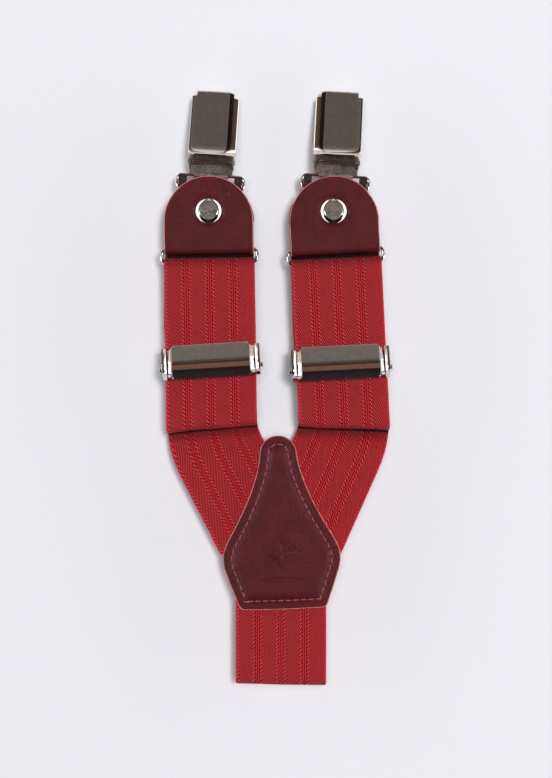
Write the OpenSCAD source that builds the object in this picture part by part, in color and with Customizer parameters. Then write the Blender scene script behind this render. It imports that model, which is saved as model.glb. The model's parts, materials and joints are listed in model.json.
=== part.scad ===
// Adjustable Y-back suspenders with three clips, folded flat for display.
// +X is right, +Y runs up the front straps to the clips, +Z is up from the surface below.
// The origin lies on that surface, under the middle of the folded object.

/* [Webbing] */
// Width of the elastic webbing
web_w = 35; // [33:0.5:35]
// Thickness of the webbing
web_t = 1.3; // [1.1:0.1:1.3]
// Distance between the centres of two folded layers
layer_pitch = 1.45; // [1.4:0.05:1.45]

/* [Leather] */
// Thickness of the tab and patch leather
leather_t = 1.5; // [1.3:0.1:1.5]
// Thickness of the thinned leather tongue
tongue_t = 1.1; // [0.9:0.1:1.1]
// Width of a tab's round flap
tab_w = 34.4; // [32:0.2:34.4]
// Width of the tongue that holds the clip ring
tongue_w = 23; // [20:0.5:23]
// Diameter of the rivet's cap
rivet_d = 10; // [8:0.5:11]

/* [Patch] */
// Thickness of the patch's back leather
backing_t = 1.2; // [0.8:0.1:1.2]
// Radius of the patch's top
patch_tip_r = 7.2; // [6.5:0.1:7.5]
// Inset of the row of stitches from the edge
stitch_inset = 3.4; // [2.5:0.1:4]
// Distance from one stitch to the next
stitch_pitch = 3; // [2.5:0.1:4]

/* [Rings] */
// Wire diameter of a strap ring
ring_wire = 1.4; // [1.2:0.1:1.4]
// Distance between the two bars of a strap ring
ring_h = 5.6; // [5:0.1:6]
// Outer width of a strap ring
ring_w = 38.3; // [38:0.1:39]
// Wire diameter of a clip ring
clip_wire = 1.2; // [1:0.1:1.2]
// Distance between the two bars of a clip ring
clip_ring_h = 5.3; // [5:0.1:6]
// Outer width of a clip ring
clip_ring_w = 27; // [26.5:0.1:28]

/* [Clips] */
// Width of a clip's cover
cover_w = 18.6; // [18.4:0.1:19]
// Length from the ring's bar to the jaw's edge
clip_l = 33; // [32:0.5:34]
// Height of the cover above the ring's bar
cover_h = 6; // [5.8:0.1:6]
// Sheet metal thickness of a clip
plate_t = 0.6; // [0.5:0.05:0.6]

/* [Adjusters] */
// Width across the ears of an adjuster
adjuster_w = 37.7; // [37.4:0.1:38]
// Length of an ear along the strap
ear_l = 10.6; // [10:0.1:11]
// Sheet metal thickness of an adjuster
frame_t = 0.8; // [0.6:0.05:0.8]
// Radius of the adjuster lever's curved back
lever_r = 3; // [2.8:0.1:3]

/* [Hidden] */
$fn = 48;
WEB = [0.72, 0.1, 0.15];
LEATHER = [0.3, 0.08, 0.11];
METAL = [0.72, 0.72, 0.7];
THREAD = [0.55, 0.2, 0.32];
PLASTIC = [0.08, 0.08, 0.09];
// Every piece is shifted by this much, so that the origin is under the middle
centre_shift = [0.1, -0.8, 0];

// The three ends: 0 is the left front, 1 the right front, 2 the back
// Where a front strap's middle line crosses Y = 0, and its lean in degrees
strap_x = [-25, 25.65];
strap_lean = [0.8, 2.9];
// An adjuster's middle from its strap's line, along the strap, and its turn
adjuster_at = [[0.2, 11.2], [-0.4, 10.5]];
adjuster_turn = [2.8, 0];
// A clip ring's lower bar from its tab's middle line, and its lean against the tab
clip_offset = [0.6, 1, 0];
clip_lean = [-4.1, -6.2, 0];
// How far each clip points down from its ring, and how far the ring points up
clip_droop = [17.5, 17.5, -21];
ring_rise = [0, 0, -21];

// Heights and places along a front strap (v), from the strap's own origin
bar_z = 11.4;                        // strap ring's wire
ring_v = 48.6;                       // strap ring's lower bar
tab_v = ring_v + ring_h;             // strap ring's upper bar, in the tab's fold
rivet_v = 68.6;
clip_bar_v = 77;                     // clip ring's lower bar
loop_r = ring_wire / 2 + 0.15;       // inside of the webbing round a ring
front_z = bar_z + loop_r;            // underside of the visible front strap
fold_low = -12.2;                    // where the hidden runs end, toward the patch
fold_high = 65.2;
web_back_x = 1.9;                    // middle of the back strap
back_bar = [-45, 4];                 // back strap ring's bar: Y and Z

// Leather tab
tab_in = ring_wire / 2 + 0.05;       // inside of the leather round a ring
tab_back_z = bar_z - tab_in - leather_t;
flap_z = bar_z + tab_in;
clip_bar_z = bar_z - tab_in + 0.05 + clip_wire / 2;
tongue_in = clip_wire / 2 + 0.05;

// Patch: Y of its lower edge, height there and slope toward the tip
patch_y = -84.6;
patch_z = 9.4;
patch_slope = 1.8;
patch_at = [2.2, -64.5];
patch_turn = 2;
strap_mid_x = 1.2;                   // the two front straps meet here inside the patch

// Diagonals: where each strap turns, the direction after it, and its length
turn_at = [[-24.64, -19.5], [26.7, -17.3]];
turn_to = [27.2, -24.1];
turn_l = [50, 51];

// Clip mechanism, along (p) and above (q) the ring's bar
pivot = [4.9, 2.2];
pin_r = 0.7;
pin_gap = 0.05;
cover_start = 7.1;
leg_x = 7.2;
ear_x = 8;
// Adjuster lever's pivot: along the strap and above the front strap
lever_v = -2.9;
lever_z = front_z + web_t + 3;

function bezier(a, b, c, d, n) = [for (i = [0:n - 1]) let (t = i / n, s = 1 - t)
    s * s * s * a + 3 * s * s * t * b + 3 * s * t * t * c + t * t * t * d];

// Places children in a front strap's own frame: across, along and up
module strap_frame(i) translate([strap_x[i], 0, 0]) rotate(strap_lean[i]) children();

// Places children, drawn as on a front strap, at the front ends or the back end
module end_frame(i) {
    if (i < 2) strap_frame(i) children();
    else translate([web_back_x, back_bar[0] + ring_v, back_bar[1] + bar_z])
        rotate([180, 0, 0]) children();
}

// Places children in the frame of a clip ring's lower bar
module clip_ring_frame(i) end_frame(i) translate([clip_offset[i], clip_bar_v, clip_bar_z])
    rotate(clip_lean[i]) rotate([ring_rise[i], 0, 0]) children();

// Places children in the frame of a clip: across, along (p) and up (q)
module clip_frame(i) clip_ring_frame(i) translate([0, clip_ring_h, 0])
    rotate([-clip_droop[i], 0, 0]) children();

module adjuster_frame_at(i) strap_frame(i) translate(adjuster_at[i])
    rotate(adjuster_turn[i]) children();

// Extrudes a side view (along, up) across the width
module across(w) rotate([90, 0, 90]) linear_extrude(w, center = true) children();

// Side view of a half bend in material t thick, open on its low side
module bend(at, r, t) translate(at) difference() {
    circle(r + t);
    circle(r);
    translate([-2 * (r + t), -2 * (r + t)]) square([2 * (r + t), 4 * (r + t)]);
}
module bend_low(at, r, t) translate(at) mirror([1, 0]) bend([0, 0], r, t);

// Side view of a layer that runs through points along its underside
module layer(points, t) polygon(concat(points,
    [for (i = [len(points) - 1:-1:0]) points[i] + [0, t]]));

// Flat band through stations: x, y, z of its underside, direction across, width, and rise along Y
module ribbon(stations, t) {
    n = len(stations);
    corners = [for (s = stations) for (c = [[-1, 0], [1, 0], [1, 1], [-1, 1]])
        let (dx = c[0] * s[4] / 2 * cos(s[3]), dy = c[0] * s[4] / 2 * sin(s[3]))
            [s[0] + dx, s[1] + dy, s[2] + c[1] * t + dy * s[5]]];
    sides = [for (i = [0:n - 2]) for (k = [0:3]) let (a = 4 * i, b = a + 4, l = (k + 1) % 4)
        each [[a + k, a + l, b + l], [a + k, b + l, b + k]]];
    e = 4 * (n - 1);
    polyhedron(corners, concat(sides, [[3, 2, 1], [3, 1, 0], [e, e + 1, e + 2], [e, e + 2, e + 3]]));
}

// Round wire bent to a rectangle with round corners; y = 0 is its lower bar
module wire_loop(w, h, wire, corner) {
    x = (w - wire) / 2;
    for (y = [0, h]) translate([0, y, 0]) rotate([0, 90, 0])
        cylinder(h = 2 * (x - corner), d = wire, center = true);
    for (sx = [-1, 1]) translate([sx * x, h / 2, 0]) rotate([90, 0, 0])
        cylinder(h = h - 2 * corner, d = wire, center = true);
    for (sx = [0, 1], sy = [0, 1]) translate([0, h / 2, 0]) mirror([sx, 0, 0]) mirror([0, sy, 0])
        translate([x - corner, h / 2 - corner, 0])
            rotate_extrude(angle = 90) translate([corner, 0]) circle(d = wire);
}

// ---- Webbing ----

function level(i) = i * layer_pitch;
fold_gap = layer_pitch - web_t;
// A ribbon starts inside a folded run, so it is a little smaller all round
ease = 0.05;
ribbon_t = web_t - 2 * ease;
ribbon_w = web_w - 4 * ease;

// Height of the straps' underside between the two patch leathers
function patch_strap_z(y) = patch_z + backing_t + 0.05 - (y - patch_y) * tan(patch_slope);

// Six hidden runs folded up and down, and the fold up to the visible front
module strap_folds(i) color(WEB) {
    strap_frame(i) across(web_w) {
        for (k = [0:5]) translate([fold_low, level(k)]) square([fold_high - fold_low, web_t]);
        for (k = [1, 3]) bend([fold_high, level(k) + (layer_pitch + web_t) / 2], fold_gap / 2, web_t);
        for (k = [0, 2])
            bend_low([fold_low, level(k) + (layer_pitch + web_t) / 2], fold_gap / 2, web_t);
        bend([fold_high, (level(5) + web_t) / 2], (level(5) - web_t) / 2, web_t);
        bend_low([fold_low, (level(5) + front_z + web_t) / 2], (front_z - level(5) - web_t) / 2, web_t);
    }
    strap_diagonal(i);
}

// The strap comes out from under the folds, turns and runs into the patch
module strap_diagonal(i) {
    lean = strap_lean[i];
    turn = turn_to[i];
    half = (turn - lean) / 2;
    go = [sin(turn), -cos(turn)];
    start_v = fold_low + 1;
    intersection() {
        ribbon([
            [strap_x[i] - sin(lean) * start_v, cos(lean) * start_v, level(4) + ease, 180 + lean, ribbon_w, 0],
            [turn_at[i][0], turn_at[i][1], level(4) + 0.2, 180 + lean + half, ribbon_w / cos(half), 0],
            for (l = [8, turn_l[i]]) let (p = turn_at[i] + l * go)
                [p[0], p[1], patch_strap_z(p[1]) + ease, 180 + turn, ribbon_w, -tan(patch_slope)]
        ], ribbon_t);
        translate([i == 0 ? strap_mid_x - 60 : strap_mid_x + 0.1, -64, 0]) cube([60 - 0.05, 64, 20]);
    }
}

module strap_front(i) color(WEB) strap_frame(i) across(web_w)
    translate([fold_low, front_z]) square([ring_v - fold_low, web_t]);

// The turn of the strap round the ring
module strap_loop(i) color(WEB) strap_frame(i) across(web_w)
    bend([ring_v, bar_z], loop_r, web_t);

// Adjuster frame: its slot's upper bar holds the strap's sewn end
bar_low_z = 10.05;
anvil_z = front_z - 0.05 - frame_t;
slot_v = [1.2, 3.2];
sewn_z = bar_low_z - 0.05 - web_t;    // lower layer of the sewn end
over_z = bar_low_z + frame_t + 0.05;  // upper layer of the sewn end
sewn_v = 14;                          // length sewn, from the adjuster's middle
return_z = bar_z - loop_r - web_t;

module strap_return(i) color(WEB) {
    o = adjuster_at[i];
    adjuster_frame_at(i) across(web_w) {
        bend_low([slot_v[1], (sewn_z + over_z + web_t) / 2], (over_z - sewn_z - web_t) / 2, web_t);
        layer([[slot_v[1], sewn_z], [sewn_v, sewn_z]], web_t);
        layer([[slot_v[1], over_z], [5.2, over_z], [9, sewn_z + web_t + 0.05],
               [sewn_v, sewn_z + web_t + 0.05]], web_t);
    }
    // each station: share of the way to the ring, and share of the move to its line
    strap_frame(i) ribbon([
        for (s = [[-0.04, 0], [0.02, 0], [0.3, 0.5], [1, 1]])
            let (v0 = sewn_v * cos(adjuster_turn[i]), u0 = -sewn_v * sin(adjuster_turn[i]),
                 v = o[1] + v0 + s[0] * (ring_v - o[1] - v0), sewn_top = sewn_z + web_t + 0.05)
                [(o[0] + u0) * (1 - s[1]), v, sewn_top + s[1] * (return_z - sewn_top) + ease,
                 adjuster_turn[i] * (1 - s[1]), ribbon_w, 0]
    ], ribbon_t);
}

// Thread through the doubled end of the strap
module return_stitching(i) color(THREAD) adjuster_frame_at(i)
    for (v = [11, 13], u = [-15:3:15]) translate([u, v, sewn_z + 0.1])
        cylinder(h = 2 * web_t, r = 0.3, $fn = 16);

// Back strap: from the patch, folded under at the bottom, up and down again to its ring
back_z = patch_strap_z(patch_y);
back_low = -112.2;
back_high = -31;
tuck_z = 7.75;                        // underside of the layer folded under the visible one
tuck_end_z = 6.3;
sewn_back_z = back_bar[1] - loop_r - web_t;

module back_strap() color(WEB) translate([web_back_x, 0, 0]) across(web_w) {
    layer([[back_low, back_z], [patch_y, back_z], [-64.5, patch_strap_z(-64.5)]], web_t);
    bend_low([back_low, (back_z + tuck_z + web_t) / 2], (back_z - tuck_z - web_t) / 2, web_t);
    layer([[back_low, tuck_z], [patch_y, tuck_z], [back_high, tuck_end_z]], web_t);
    bend([back_high, (tuck_end_z + back_bar[1] + loop_r + web_t) / 2],
         (tuck_end_z - back_bar[1] - loop_r - web_t) / 2, web_t);
    layer([[back_bar[0], back_bar[1] + loop_r], [back_high, back_bar[1] + loop_r]], web_t);
    bend_low(back_bar, loop_r, web_t);
    layer([[back_bar[0], sewn_back_z], [-38.5, back_bar[1] + loop_r - web_t - 0.05],
           [-32, back_bar[1] + loop_r - web_t - 0.05]], web_t);
}

module back_strap_stitching() color(THREAD)
    for (y = [-36.5, -34], x = [-15:3:15]) translate([web_back_x + x, y, back_bar[1] + loop_r - web_t])
        cylinder(h = 2 * web_t - 0.2, r = 0.3, $fn = 16);

// ---- Leather patch ----

// Right half of the outline, from the tip's top to the middle of the lower edge
patch_tip_s = 46.5 - patch_tip_r;
patch_foot = 20.2;
half_outline = concat(
    [for (a = [90:-10:10]) patch_tip_r * [cos(a), sin(a)] + [0, patch_tip_s]],
    bezier([patch_tip_r, 39], [8.3, 30], [13, 19.5], [18.5, 10], 10),
    bezier([18.5, 10], [21, 5.6], [22.7, 3], [22.7, -0.5], 5),
    bezier([22.7, -0.5], [22.7, -3.5], [21.9, -5.5], [21, -8], 4),
    bezier([21, -8], [19.6, -12], [18.3, -15.5], [17.3, -18.2], 4),
    bezier([17.3, -18.2], [16.8, -19.6], [16, -patch_foot], [14.5, -patch_foot], 3),
    [[14.5, -patch_foot], [7, -patch_foot - 0.2]]);
outline = concat(half_outline, [for (i = [len(half_outline) - 1:-1:1])
    [-half_outline[i][0], half_outline[i][1]]]);

// Places children in the patch's plane, with z = 0 on the underside of the back leather
module patch_frame() translate([0, patch_y, patch_z]) rotate([-patch_slope, 0, 0])
    translate([patch_at[0], patch_at[1] - patch_y, 0]) rotate(patch_turn) children();

front_leather_z = backing_t + web_t + 0.1;

module patch_front() color(LEATHER) patch_frame() translate([0, 0, front_leather_z])
    linear_extrude(leather_t) polygon(outline);

module patch_back() color(LEATHER) patch_frame() linear_extrude(backing_t) polygon(outline);

// Points a distance d inside a closed clockwise outline
function unit(v) = v / norm(v);
function inset(pts, d) = [for (i = [0:len(pts) - 1])
    let (n = len(pts), t = unit(pts[(i + 1) % n] - pts[(i + n - 1) % n])) pts[i] + d * [t[1], -t[0]]];
function lengths(pts, i = 0, sum = 0) = i == len(pts) ? [sum]
    : concat([sum], lengths(pts, i + 1, sum + norm(pts[(i + 1) % len(pts)] - pts[i])));

module patch_stitching() color(THREAD) patch_frame() {
    row = inset(outline, stitch_inset);
    along = lengths(row);
    n = len(row);
    count = round(along[n] / stitch_pitch);
    for (k = [0:count - 1]) {
        s = (k + 0.5) * along[n] / count;
        i = [for (j = [0:n - 1]) if (along[j] <= s && s < along[j + 1]) j][0];
        t = unit(row[(i + 1) % n] - row[i]);
        p = row[i] + (s - along[i]) * t;
        translate([p[0], p[1], front_leather_z + leather_t]) rotate(atan2(t[1], t[0]))
            translate([-1, -0.25, 0]) cube([2, 0.5, 0.25]);
    }
}

// ---- Leather tab, rivet and rings ----

flap_r = tab_w / 2;
flap_v = 64.7;                        // centre of the flap's round end
flap_lift = 0.95;                     // the flap rises over the clip ring
tab_top_z = tab_back_z + leather_t;   // upper face of the tab's back layer

module tab(i) color(LEATHER) {
    difference() {
        union() {
            end_frame(i) {
                intersection() {
                    across(tab_w) {
                        layer([[tab_v, flap_z], [73.8, flap_z + 0.05], [clip_bar_v, flap_z + flap_lift],
                               [83, flap_z + flap_lift + 0.1]], leather_t);
                        bend_low([tab_v, bar_z], tab_in, leather_t);
                        layer([[tab_v, tab_back_z], [72, tab_back_z]], leather_t);
                    }
                    union() {
                        translate([-flap_r, tab_v - 5, 0]) cube([tab_w, flap_v - tab_v + 5, 30]);
                        translate([0, flap_v, 0]) cylinder(h = 30, r = flap_r, $fn = 96);
                    }
                }
                translate([clip_offset[i], 0, 0]) across(tongue_w) {
                    layer([[70, tab_top_z - tongue_t], [75.4, tab_top_z - tongue_t]], tongue_t);
                    layer([[63, tab_top_z + 0.05], [72.5, tab_top_z + 0.25], [75, tab_top_z + 0.85]],
                          tongue_t);
                }
            }
            end_frame(i) translate([clip_offset[i], clip_bar_v, clip_bar_z]) rotate(clip_lean[i])
                across(tongue_w) {
                    bend([0, 0], tongue_in, tongue_t);
                    layer([[-3, -tongue_in - tongue_t], [0, -tongue_in - tongue_t]], tongue_t);
                    layer([[-3, tongue_in - 0.75], [-2, tongue_in - 0.5], [0, tongue_in]], tongue_t);
                }
        }
        end_frame(i) translate([0, rivet_v, 0]) cylinder(h = 30, r = 1.6);
    }
}

rivet_back_t = 0.5;
cap_h = 1.5;
cap_z = flap_z + 0.05 + leather_t;

// Cap with a bevelled edge and a flat face, on a solid post
module rivet_cap(i) color(METAL) end_frame(i) translate([0, rivet_v, cap_z]) {
    rotate_extrude() polygon([[0, 0], [rivet_d / 2, 0], [rivet_d / 2, 0.35],
                              [rivet_d * 0.33, cap_h], [0, cap_h]]);
    translate([0, 0, -4.2]) cylinder(h = 4.3, r = 0.9);
}

// Flat back with a hollow stem that takes the post
module rivet_back(i) color(METAL) end_frame(i) translate([0, rivet_v, tab_back_z - rivet_back_t])
    difference() {
        union() {
            cylinder(h = rivet_back_t, r = 4.4);
            cylinder(h = 4, r = 1.5);
        }
        translate([0, 0, 0.2]) cylinder(h = 5, r = 0.95);
    }

module strap_ring(i) color(METAL) end_frame(i) translate([0, ring_v, bar_z])
    wire_loop(ring_w, ring_h, ring_wire, 1.2);

module clip_ring(i) color(METAL) clip_ring_frame(i)
    wire_loop(clip_ring_w, clip_ring_h, clip_wire, 1.2);

// ---- Clip ----

barrel_in = clip_wire / 2 + 0.05;
barrel_r = barrel_in + plate_t - 0.1;
plate_z = -barrel_r;                  // underside of the base plate
ear_r = 1.8;

module clip_base(i) color(METAL) clip_frame(i) {
    difference() {
        union() {
            across(13) circle(barrel_r);
            translate([-8.3, 0, plate_z]) cube([16.6, clip_l - 1, plate_t]);
            for (s = [-1, 1]) translate([s * (ear_x + plate_t / 2), 0, 0]) across(plate_t) {
                translate(pivot) circle(ear_r);
                translate([pivot[0] - ear_r, plate_z]) square([2 * ear_r, pivot[1] - plate_z]);
            }
            translate([-7, clip_l - 1 - plate_t, plate_z]) cube([14, plate_t, 1.2]);
        }
        across(20) circle(barrel_in);
        translate([0, pivot[0], pivot[1]]) rotate([0, 90, 0])
            cylinder(h = 30, r = pin_r + pin_gap, center = true);
    }
}

module clip_pin(i) color(METAL) clip_frame(i) translate([0, pivot[0], pivot[1]]) rotate([0, 90, 0]) {
    cylinder(h = 17.5, r = pin_r, center = true);
    for (s = [-1, 1]) translate([0, 0, s * 8.9]) cylinder(h = 0.45, r = 0.95, center = true);
}

// Leaf spring: flat on the base, bent back over itself under the cover
module clip_spring(i) color(METAL) clip_frame(i) across(10) {
    layer([[10, plate_z + plate_t + 0.02], [19, plate_z + plate_t + 0.02]], 0.35);
    bend([19, plate_z + plate_t + 1.37], 1, 0.35);
    layer([[10, 3.6], [15, 3.4], [19, plate_z + plate_t + 2.37]], 0.35);
}

// Ribbed plastic pad that grips the cloth
module clip_pad(i) color(PLASTIC) clip_frame(i) {
    translate([-8, 22, plate_z + plate_t + 0.02]) cube([16, 9.3, 1.1]);
    for (p = [22.6:1.6:30.2]) translate([0, p, plate_z + plate_t + 1.1])
        across(15) polygon([[0, 0], [1.2, 0], [0.6, 0.6]]);
}

// Cross-section of the cover, outside
cover_half = cover_w / 2;
cover_side = [[cover_half, 2.3], [cover_half, cover_h - 2.1], [cover_half - 1.6, cover_h - 0.6],
              [cover_half - 4.2, cover_h]];
cover_in = [[cover_half - plate_t, 2.2], [cover_half - plate_t, cover_h - 2.35],
            [cover_half - 1.85, cover_h - 1.15], [cover_half - 4.3, cover_h - plate_t]];
function both(side) = concat(side, [for (i = [len(side) - 1:-1:0]) [-side[i][0], side[i][1]]]);

module clip_lever(i) color(METAL) clip_frame(i) difference() {
    union() {
        // arched cover, with short corners at the jaw
        translate([0, clip_l - 2, 0]) rotate([90, 0, 0]) linear_extrude(clip_l - 2 - cover_start)
            difference() {
                polygon(both(cover_side));
                polygon(both(cover_in));
            }
        translate([-7, clip_l - 2.1, cover_h - 0.05 - plate_t]) cube([14, 2.1, plate_t]);
        // jaw wall, bent down to the pad
        translate([-7, clip_l - plate_t, 1.5]) cube([14, plate_t, cover_h - 0.05 - 1.5]);
        for (x = [-6.2:3.1:6.2]) translate([x - 0.6, clip_l - plate_t, 1.1]) cube([1.2, plate_t, 0.5]);
        // legs down to the pivot
        for (s = [-1, 1]) translate([s * (leg_x + plate_t / 2), 0, 0]) across(plate_t) {
            translate(pivot) circle(1.5);
            polygon([[pivot[0], pivot[1] - 1.5], [13, 3], [13, cover_h - 1], [cover_start, cover_h - 1],
                     [pivot[0] - 0.6, pivot[1] + 1.3]]);
        }
    }
    translate([0, pivot[0], pivot[1]]) rotate([0, 90, 0])
        cylinder(h = 30, r = pin_r + pin_gap, center = true);
}

// ---- Adjuster ----

ear_in = adjuster_w / 2 - frame_t;
lever_half = ear_in - 0.85;
lever_arc = [0, -0.3];                // centre of the curved back, from the pivot
lever_tip = [9.2, -2.15];             // free edge, outside

module adjuster_frame(i) color(METAL) adjuster_frame_at(i) difference() {
    union() {
        for (s = [-1, 1]) translate([s * (ear_in + frame_t / 2), 0, 0]) across(frame_t) {
            translate([-ear_l / 2, bar_low_z]) square([ear_l, lever_z - 1.2 - bar_low_z]);
            polygon([[-ear_l / 2, lever_z - 1.2], [lever_v - 1, lever_z + 1.4],
                     [lever_v + 1.4, lever_z + 1.4], [ear_l / 2, lever_z - 1.2]]);
        }
        translate([-ear_in - 0.1, slot_v[1], bar_low_z])
            cube([2 * ear_in + 0.2, ear_l / 2 - slot_v[1], frame_t]);
        translate([-ear_in - 0.1, -ear_l / 2, anvil_z])
            cube([2 * ear_in + 0.2, ear_l / 2 + slot_v[0], frame_t]);
    }
    translate([0, lever_v, lever_z]) rotate([0, 90, 0])
        cylinder(h = 50, r = pin_r + pin_gap, center = true);
}

// Two short rivet pins with round heads outside the ears
module adjuster_pins(i) color(METAL) adjuster_frame_at(i) for (s = [0, 1]) mirror([s, 0, 0])
    translate([0, lever_v, lever_z]) rotate([0, 90, 0]) {
        translate([0, 0, lever_half - 1.4]) cylinder(h = adjuster_w / 2 - lever_half + 1.5, r = pin_r);
        translate([0, 0, adjuster_w / 2 + 0.05]) cylinder(h = 0.85, r = 1);
    }

// Side view of the curved cover, from its pivot
module lever_shell(inside) {
    r = lever_r - inside;
    out = [cos(60), sin(60)];
    tip = lever_tip - inside * out;
    translate(lever_arc) circle(r);
    polygon([lever_arc + r * out, lever_arc, tip - [0, 3], tip]);
}

tooth = 1.2;                          // pitch of the teeth

module adjuster_lever(i) color(METAL) adjuster_frame_at(i) translate([0, lever_v, lever_z]) difference() {
    union() {
        across(2 * lever_half) difference() {
            lever_shell(0);
            lever_shell(frame_t);
            translate([-5, -8]) square([5.2, 7.6]);
            translate([0, -8]) square([12, 5.1]);
            polygon([[0.1, -0.3], [8.2, -2.6], [8.2, -4], [0.1, -4]]);
        }
        for (s = [-1, 1]) translate([s * (lever_half - frame_t / 2), 0, 0]) across(frame_t) {
            circle(2.4);
            polygon([[0, -2.4], [5, -2.5], [8.4, -2.4], [1.6, 2], [0, 2.3]]);
        }
        // toothed bar that presses on the strap
        translate([-lever_half + 0.2, 1, -2.3]) cube([2 * lever_half - 0.4, 1.4, 2]);
        for (x = [-14.4:tooth:13.2]) translate([x, 2.4, 0]) rotate([90, 0, 0])
            linear_extrude(1.4) polygon([[0, -2.2], [tooth, -2.2], [tooth / 2, -2.85]]);
    }
    rotate([0, 90, 0]) cylinder(h = 60, r = pin_r + pin_gap, center = true);
}

translate(centre_shift) {
    strap_folds(0);  // left_strap_folds
    strap_folds(1);  // right_strap_folds
    strap_front(0);  // left_strap_front
    strap_front(1);  // right_strap_front
    back_strap();
    back_strap_stitching();
    patch_front();
    patch_back();
    patch_stitching();
    strap_loop(0);  // left_strap_loop
    strap_loop(1);  // right_strap_loop
    strap_return(0);  // left_strap_return
    strap_return(1);  // right_strap_return
    return_stitching(0);  // left_return_stitching
    return_stitching(1);  // right_return_stitching
    adjuster_frame(0);  // left_adjuster_frame
    adjuster_frame(1);  // right_adjuster_frame
    adjuster_pins(0);  // left_adjuster_pins
    adjuster_pins(1);  // right_adjuster_pins
    adjuster_lever(0);  // left_adjuster_lever
    adjuster_lever(1);  // right_adjuster_lever
    strap_ring(0);  // left_strap_ring
    strap_ring(1);  // right_strap_ring
    strap_ring(2);  // back_strap_ring
    tab(0);  // left_tab
    tab(1);  // right_tab
    tab(2);  // back_tab
    rivet_cap(0);  // left_rivet_cap
    rivet_cap(1);  // right_rivet_cap
    rivet_cap(2);  // back_rivet_cap
    rivet_back(0);  // left_rivet_back
    rivet_back(1);  // right_rivet_back
    rivet_back(2);  // back_rivet_back
    clip_ring(0);  // left_clip_ring
    clip_ring(1);  // right_clip_ring
    clip_ring(2);  // back_clip_ring
    clip_base(0);  // left_clip_base
    clip_base(1);  // right_clip_base
    clip_base(2);  // back_clip_base
    clip_pin(0);  // left_clip_pin
    clip_pin(1);  // right_clip_pin
    clip_pin(2);  // back_clip_pin
    clip_spring(0);  // left_clip_spring
    clip_spring(1);  // right_clip_spring
    clip_spring(2);  // back_clip_spring
    clip_pad(0);  // left_clip_pad
    clip_pad(1);  // right_clip_pad
    clip_pad(2);  // back_clip_pad
    clip_lever(0);  // left_clip_lever
    clip_lever(1);  // right_clip_lever
    clip_lever(2);  // back_clip_lever
}
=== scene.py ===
"""The suspenders' looks: striped webbing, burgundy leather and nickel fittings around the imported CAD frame.

Lengths in the tables are millimetres and become metres in Local.at() or with MM.
Local frames come from the joints: u runs across a strap, v along it toward its clip, w away from the wearer.
"""

import json
import math

import bmesh
import bpy
import numpy as np
from mathutils import Matrix, Vector, geometry, noise


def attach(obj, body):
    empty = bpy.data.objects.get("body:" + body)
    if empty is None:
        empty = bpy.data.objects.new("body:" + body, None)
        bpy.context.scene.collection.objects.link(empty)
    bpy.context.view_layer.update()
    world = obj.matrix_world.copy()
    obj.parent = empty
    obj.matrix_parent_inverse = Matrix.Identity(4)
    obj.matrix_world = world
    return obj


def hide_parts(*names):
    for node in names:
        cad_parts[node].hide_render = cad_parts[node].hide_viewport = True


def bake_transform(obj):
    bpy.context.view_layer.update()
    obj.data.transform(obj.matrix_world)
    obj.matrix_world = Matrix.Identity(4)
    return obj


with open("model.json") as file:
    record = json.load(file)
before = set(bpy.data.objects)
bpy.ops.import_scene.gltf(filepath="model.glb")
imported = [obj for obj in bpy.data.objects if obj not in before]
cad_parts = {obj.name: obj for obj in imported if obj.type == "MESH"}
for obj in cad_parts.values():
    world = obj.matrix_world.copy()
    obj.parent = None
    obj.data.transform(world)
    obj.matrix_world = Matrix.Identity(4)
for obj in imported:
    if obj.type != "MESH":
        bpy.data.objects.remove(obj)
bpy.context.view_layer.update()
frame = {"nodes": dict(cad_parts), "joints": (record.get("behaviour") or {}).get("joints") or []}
MM = 0.001
JOINTS = {j["name"]: j for j in frame["joints"]}
SIDES = ("left", "right")
ENDS = ("left", "right", "back")

# Webbing
WEB_W = 35.0
WEB_T = 1.3
LAYER_PITCH = 1.45
STRIPE_GAP = 9.05
FOLD_LOW = -60.8  # the hidden runs' ends, measured from the strap ring's lower bar
FOLD_HIGH = 16.6

# From the CAD source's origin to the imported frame's
SHIFT = Vector((0.1, -0.8, 0))

# Patch: where its plane turns, its slope, and its middle line
PATCH_PIVOT = Vector((0, -84.6, 9.4)) + SHIFT
PATCH_SLOPE = math.radians(1.8)
PATCH_AT = (2.2, 20.1)
PATCH_TURN = math.radians(2)
STITCH_INSET = 3.4


# ---------------------------------------------------------------- camera

CAMERA_HEIGHT = 663.5
VIEW_HEIGHT = 299.2  # what the photograph's height spans at the straps' level
STRAP_LEVEL = 13.5


def make_camera():
    data = bpy.data.cameras.new("camera")
    data.sensor_width = 36
    data.lens = 36 * (CAMERA_HEIGHT - STRAP_LEVEL) / VIEW_HEIGHT
    data.clip_end = 20
    camera = bpy.data.objects.new("camera", data)
    camera.location = (SHIFT + Vector((0, 0, CAMERA_HEIGHT))) * MM
    bpy.context.scene.collection.objects.link(camera)
    bpy.context.scene.camera = camera


make_camera()


# ---------------------------------------------------------------- frames and meshes


class Local:
    """A frame at a joint. Millimetres in, metres out."""

    def __init__(self, origin, across, along):
        self.origin = Vector(origin)
        self.u = Vector(across).normalized()
        self.w = self.u.cross(Vector(along)).normalized()
        self.v = self.w.cross(self.u)

    def at(self, u, v, w):
        return self.origin + (self.u * u + self.v * v + self.w * w) * MM

    def inside(self, point):
        """The u, v and w of a point, in millimetres."""
        d = (Vector(point) - self.origin) / MM
        return Vector((d.dot(self.u), d.dot(self.v), d.dot(self.w)))


def joint_frame(joint, along):
    return Local(JOINTS[joint]["pos_m"], JOINTS[joint]["axis"], along)


ALONG = {s: Vector(JOINTS[f"{s}_length"]["axis"]) for s in SIDES}
ALONG["back"] = Vector((0, -1, 0))
RING = {e: joint_frame(f"{e}_ring_swing", ALONG[e]) for e in ENDS}
ADJUSTER = {s: joint_frame(f"{s}_adjuster_lever", ALONG[s]) for s in SIDES}


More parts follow.
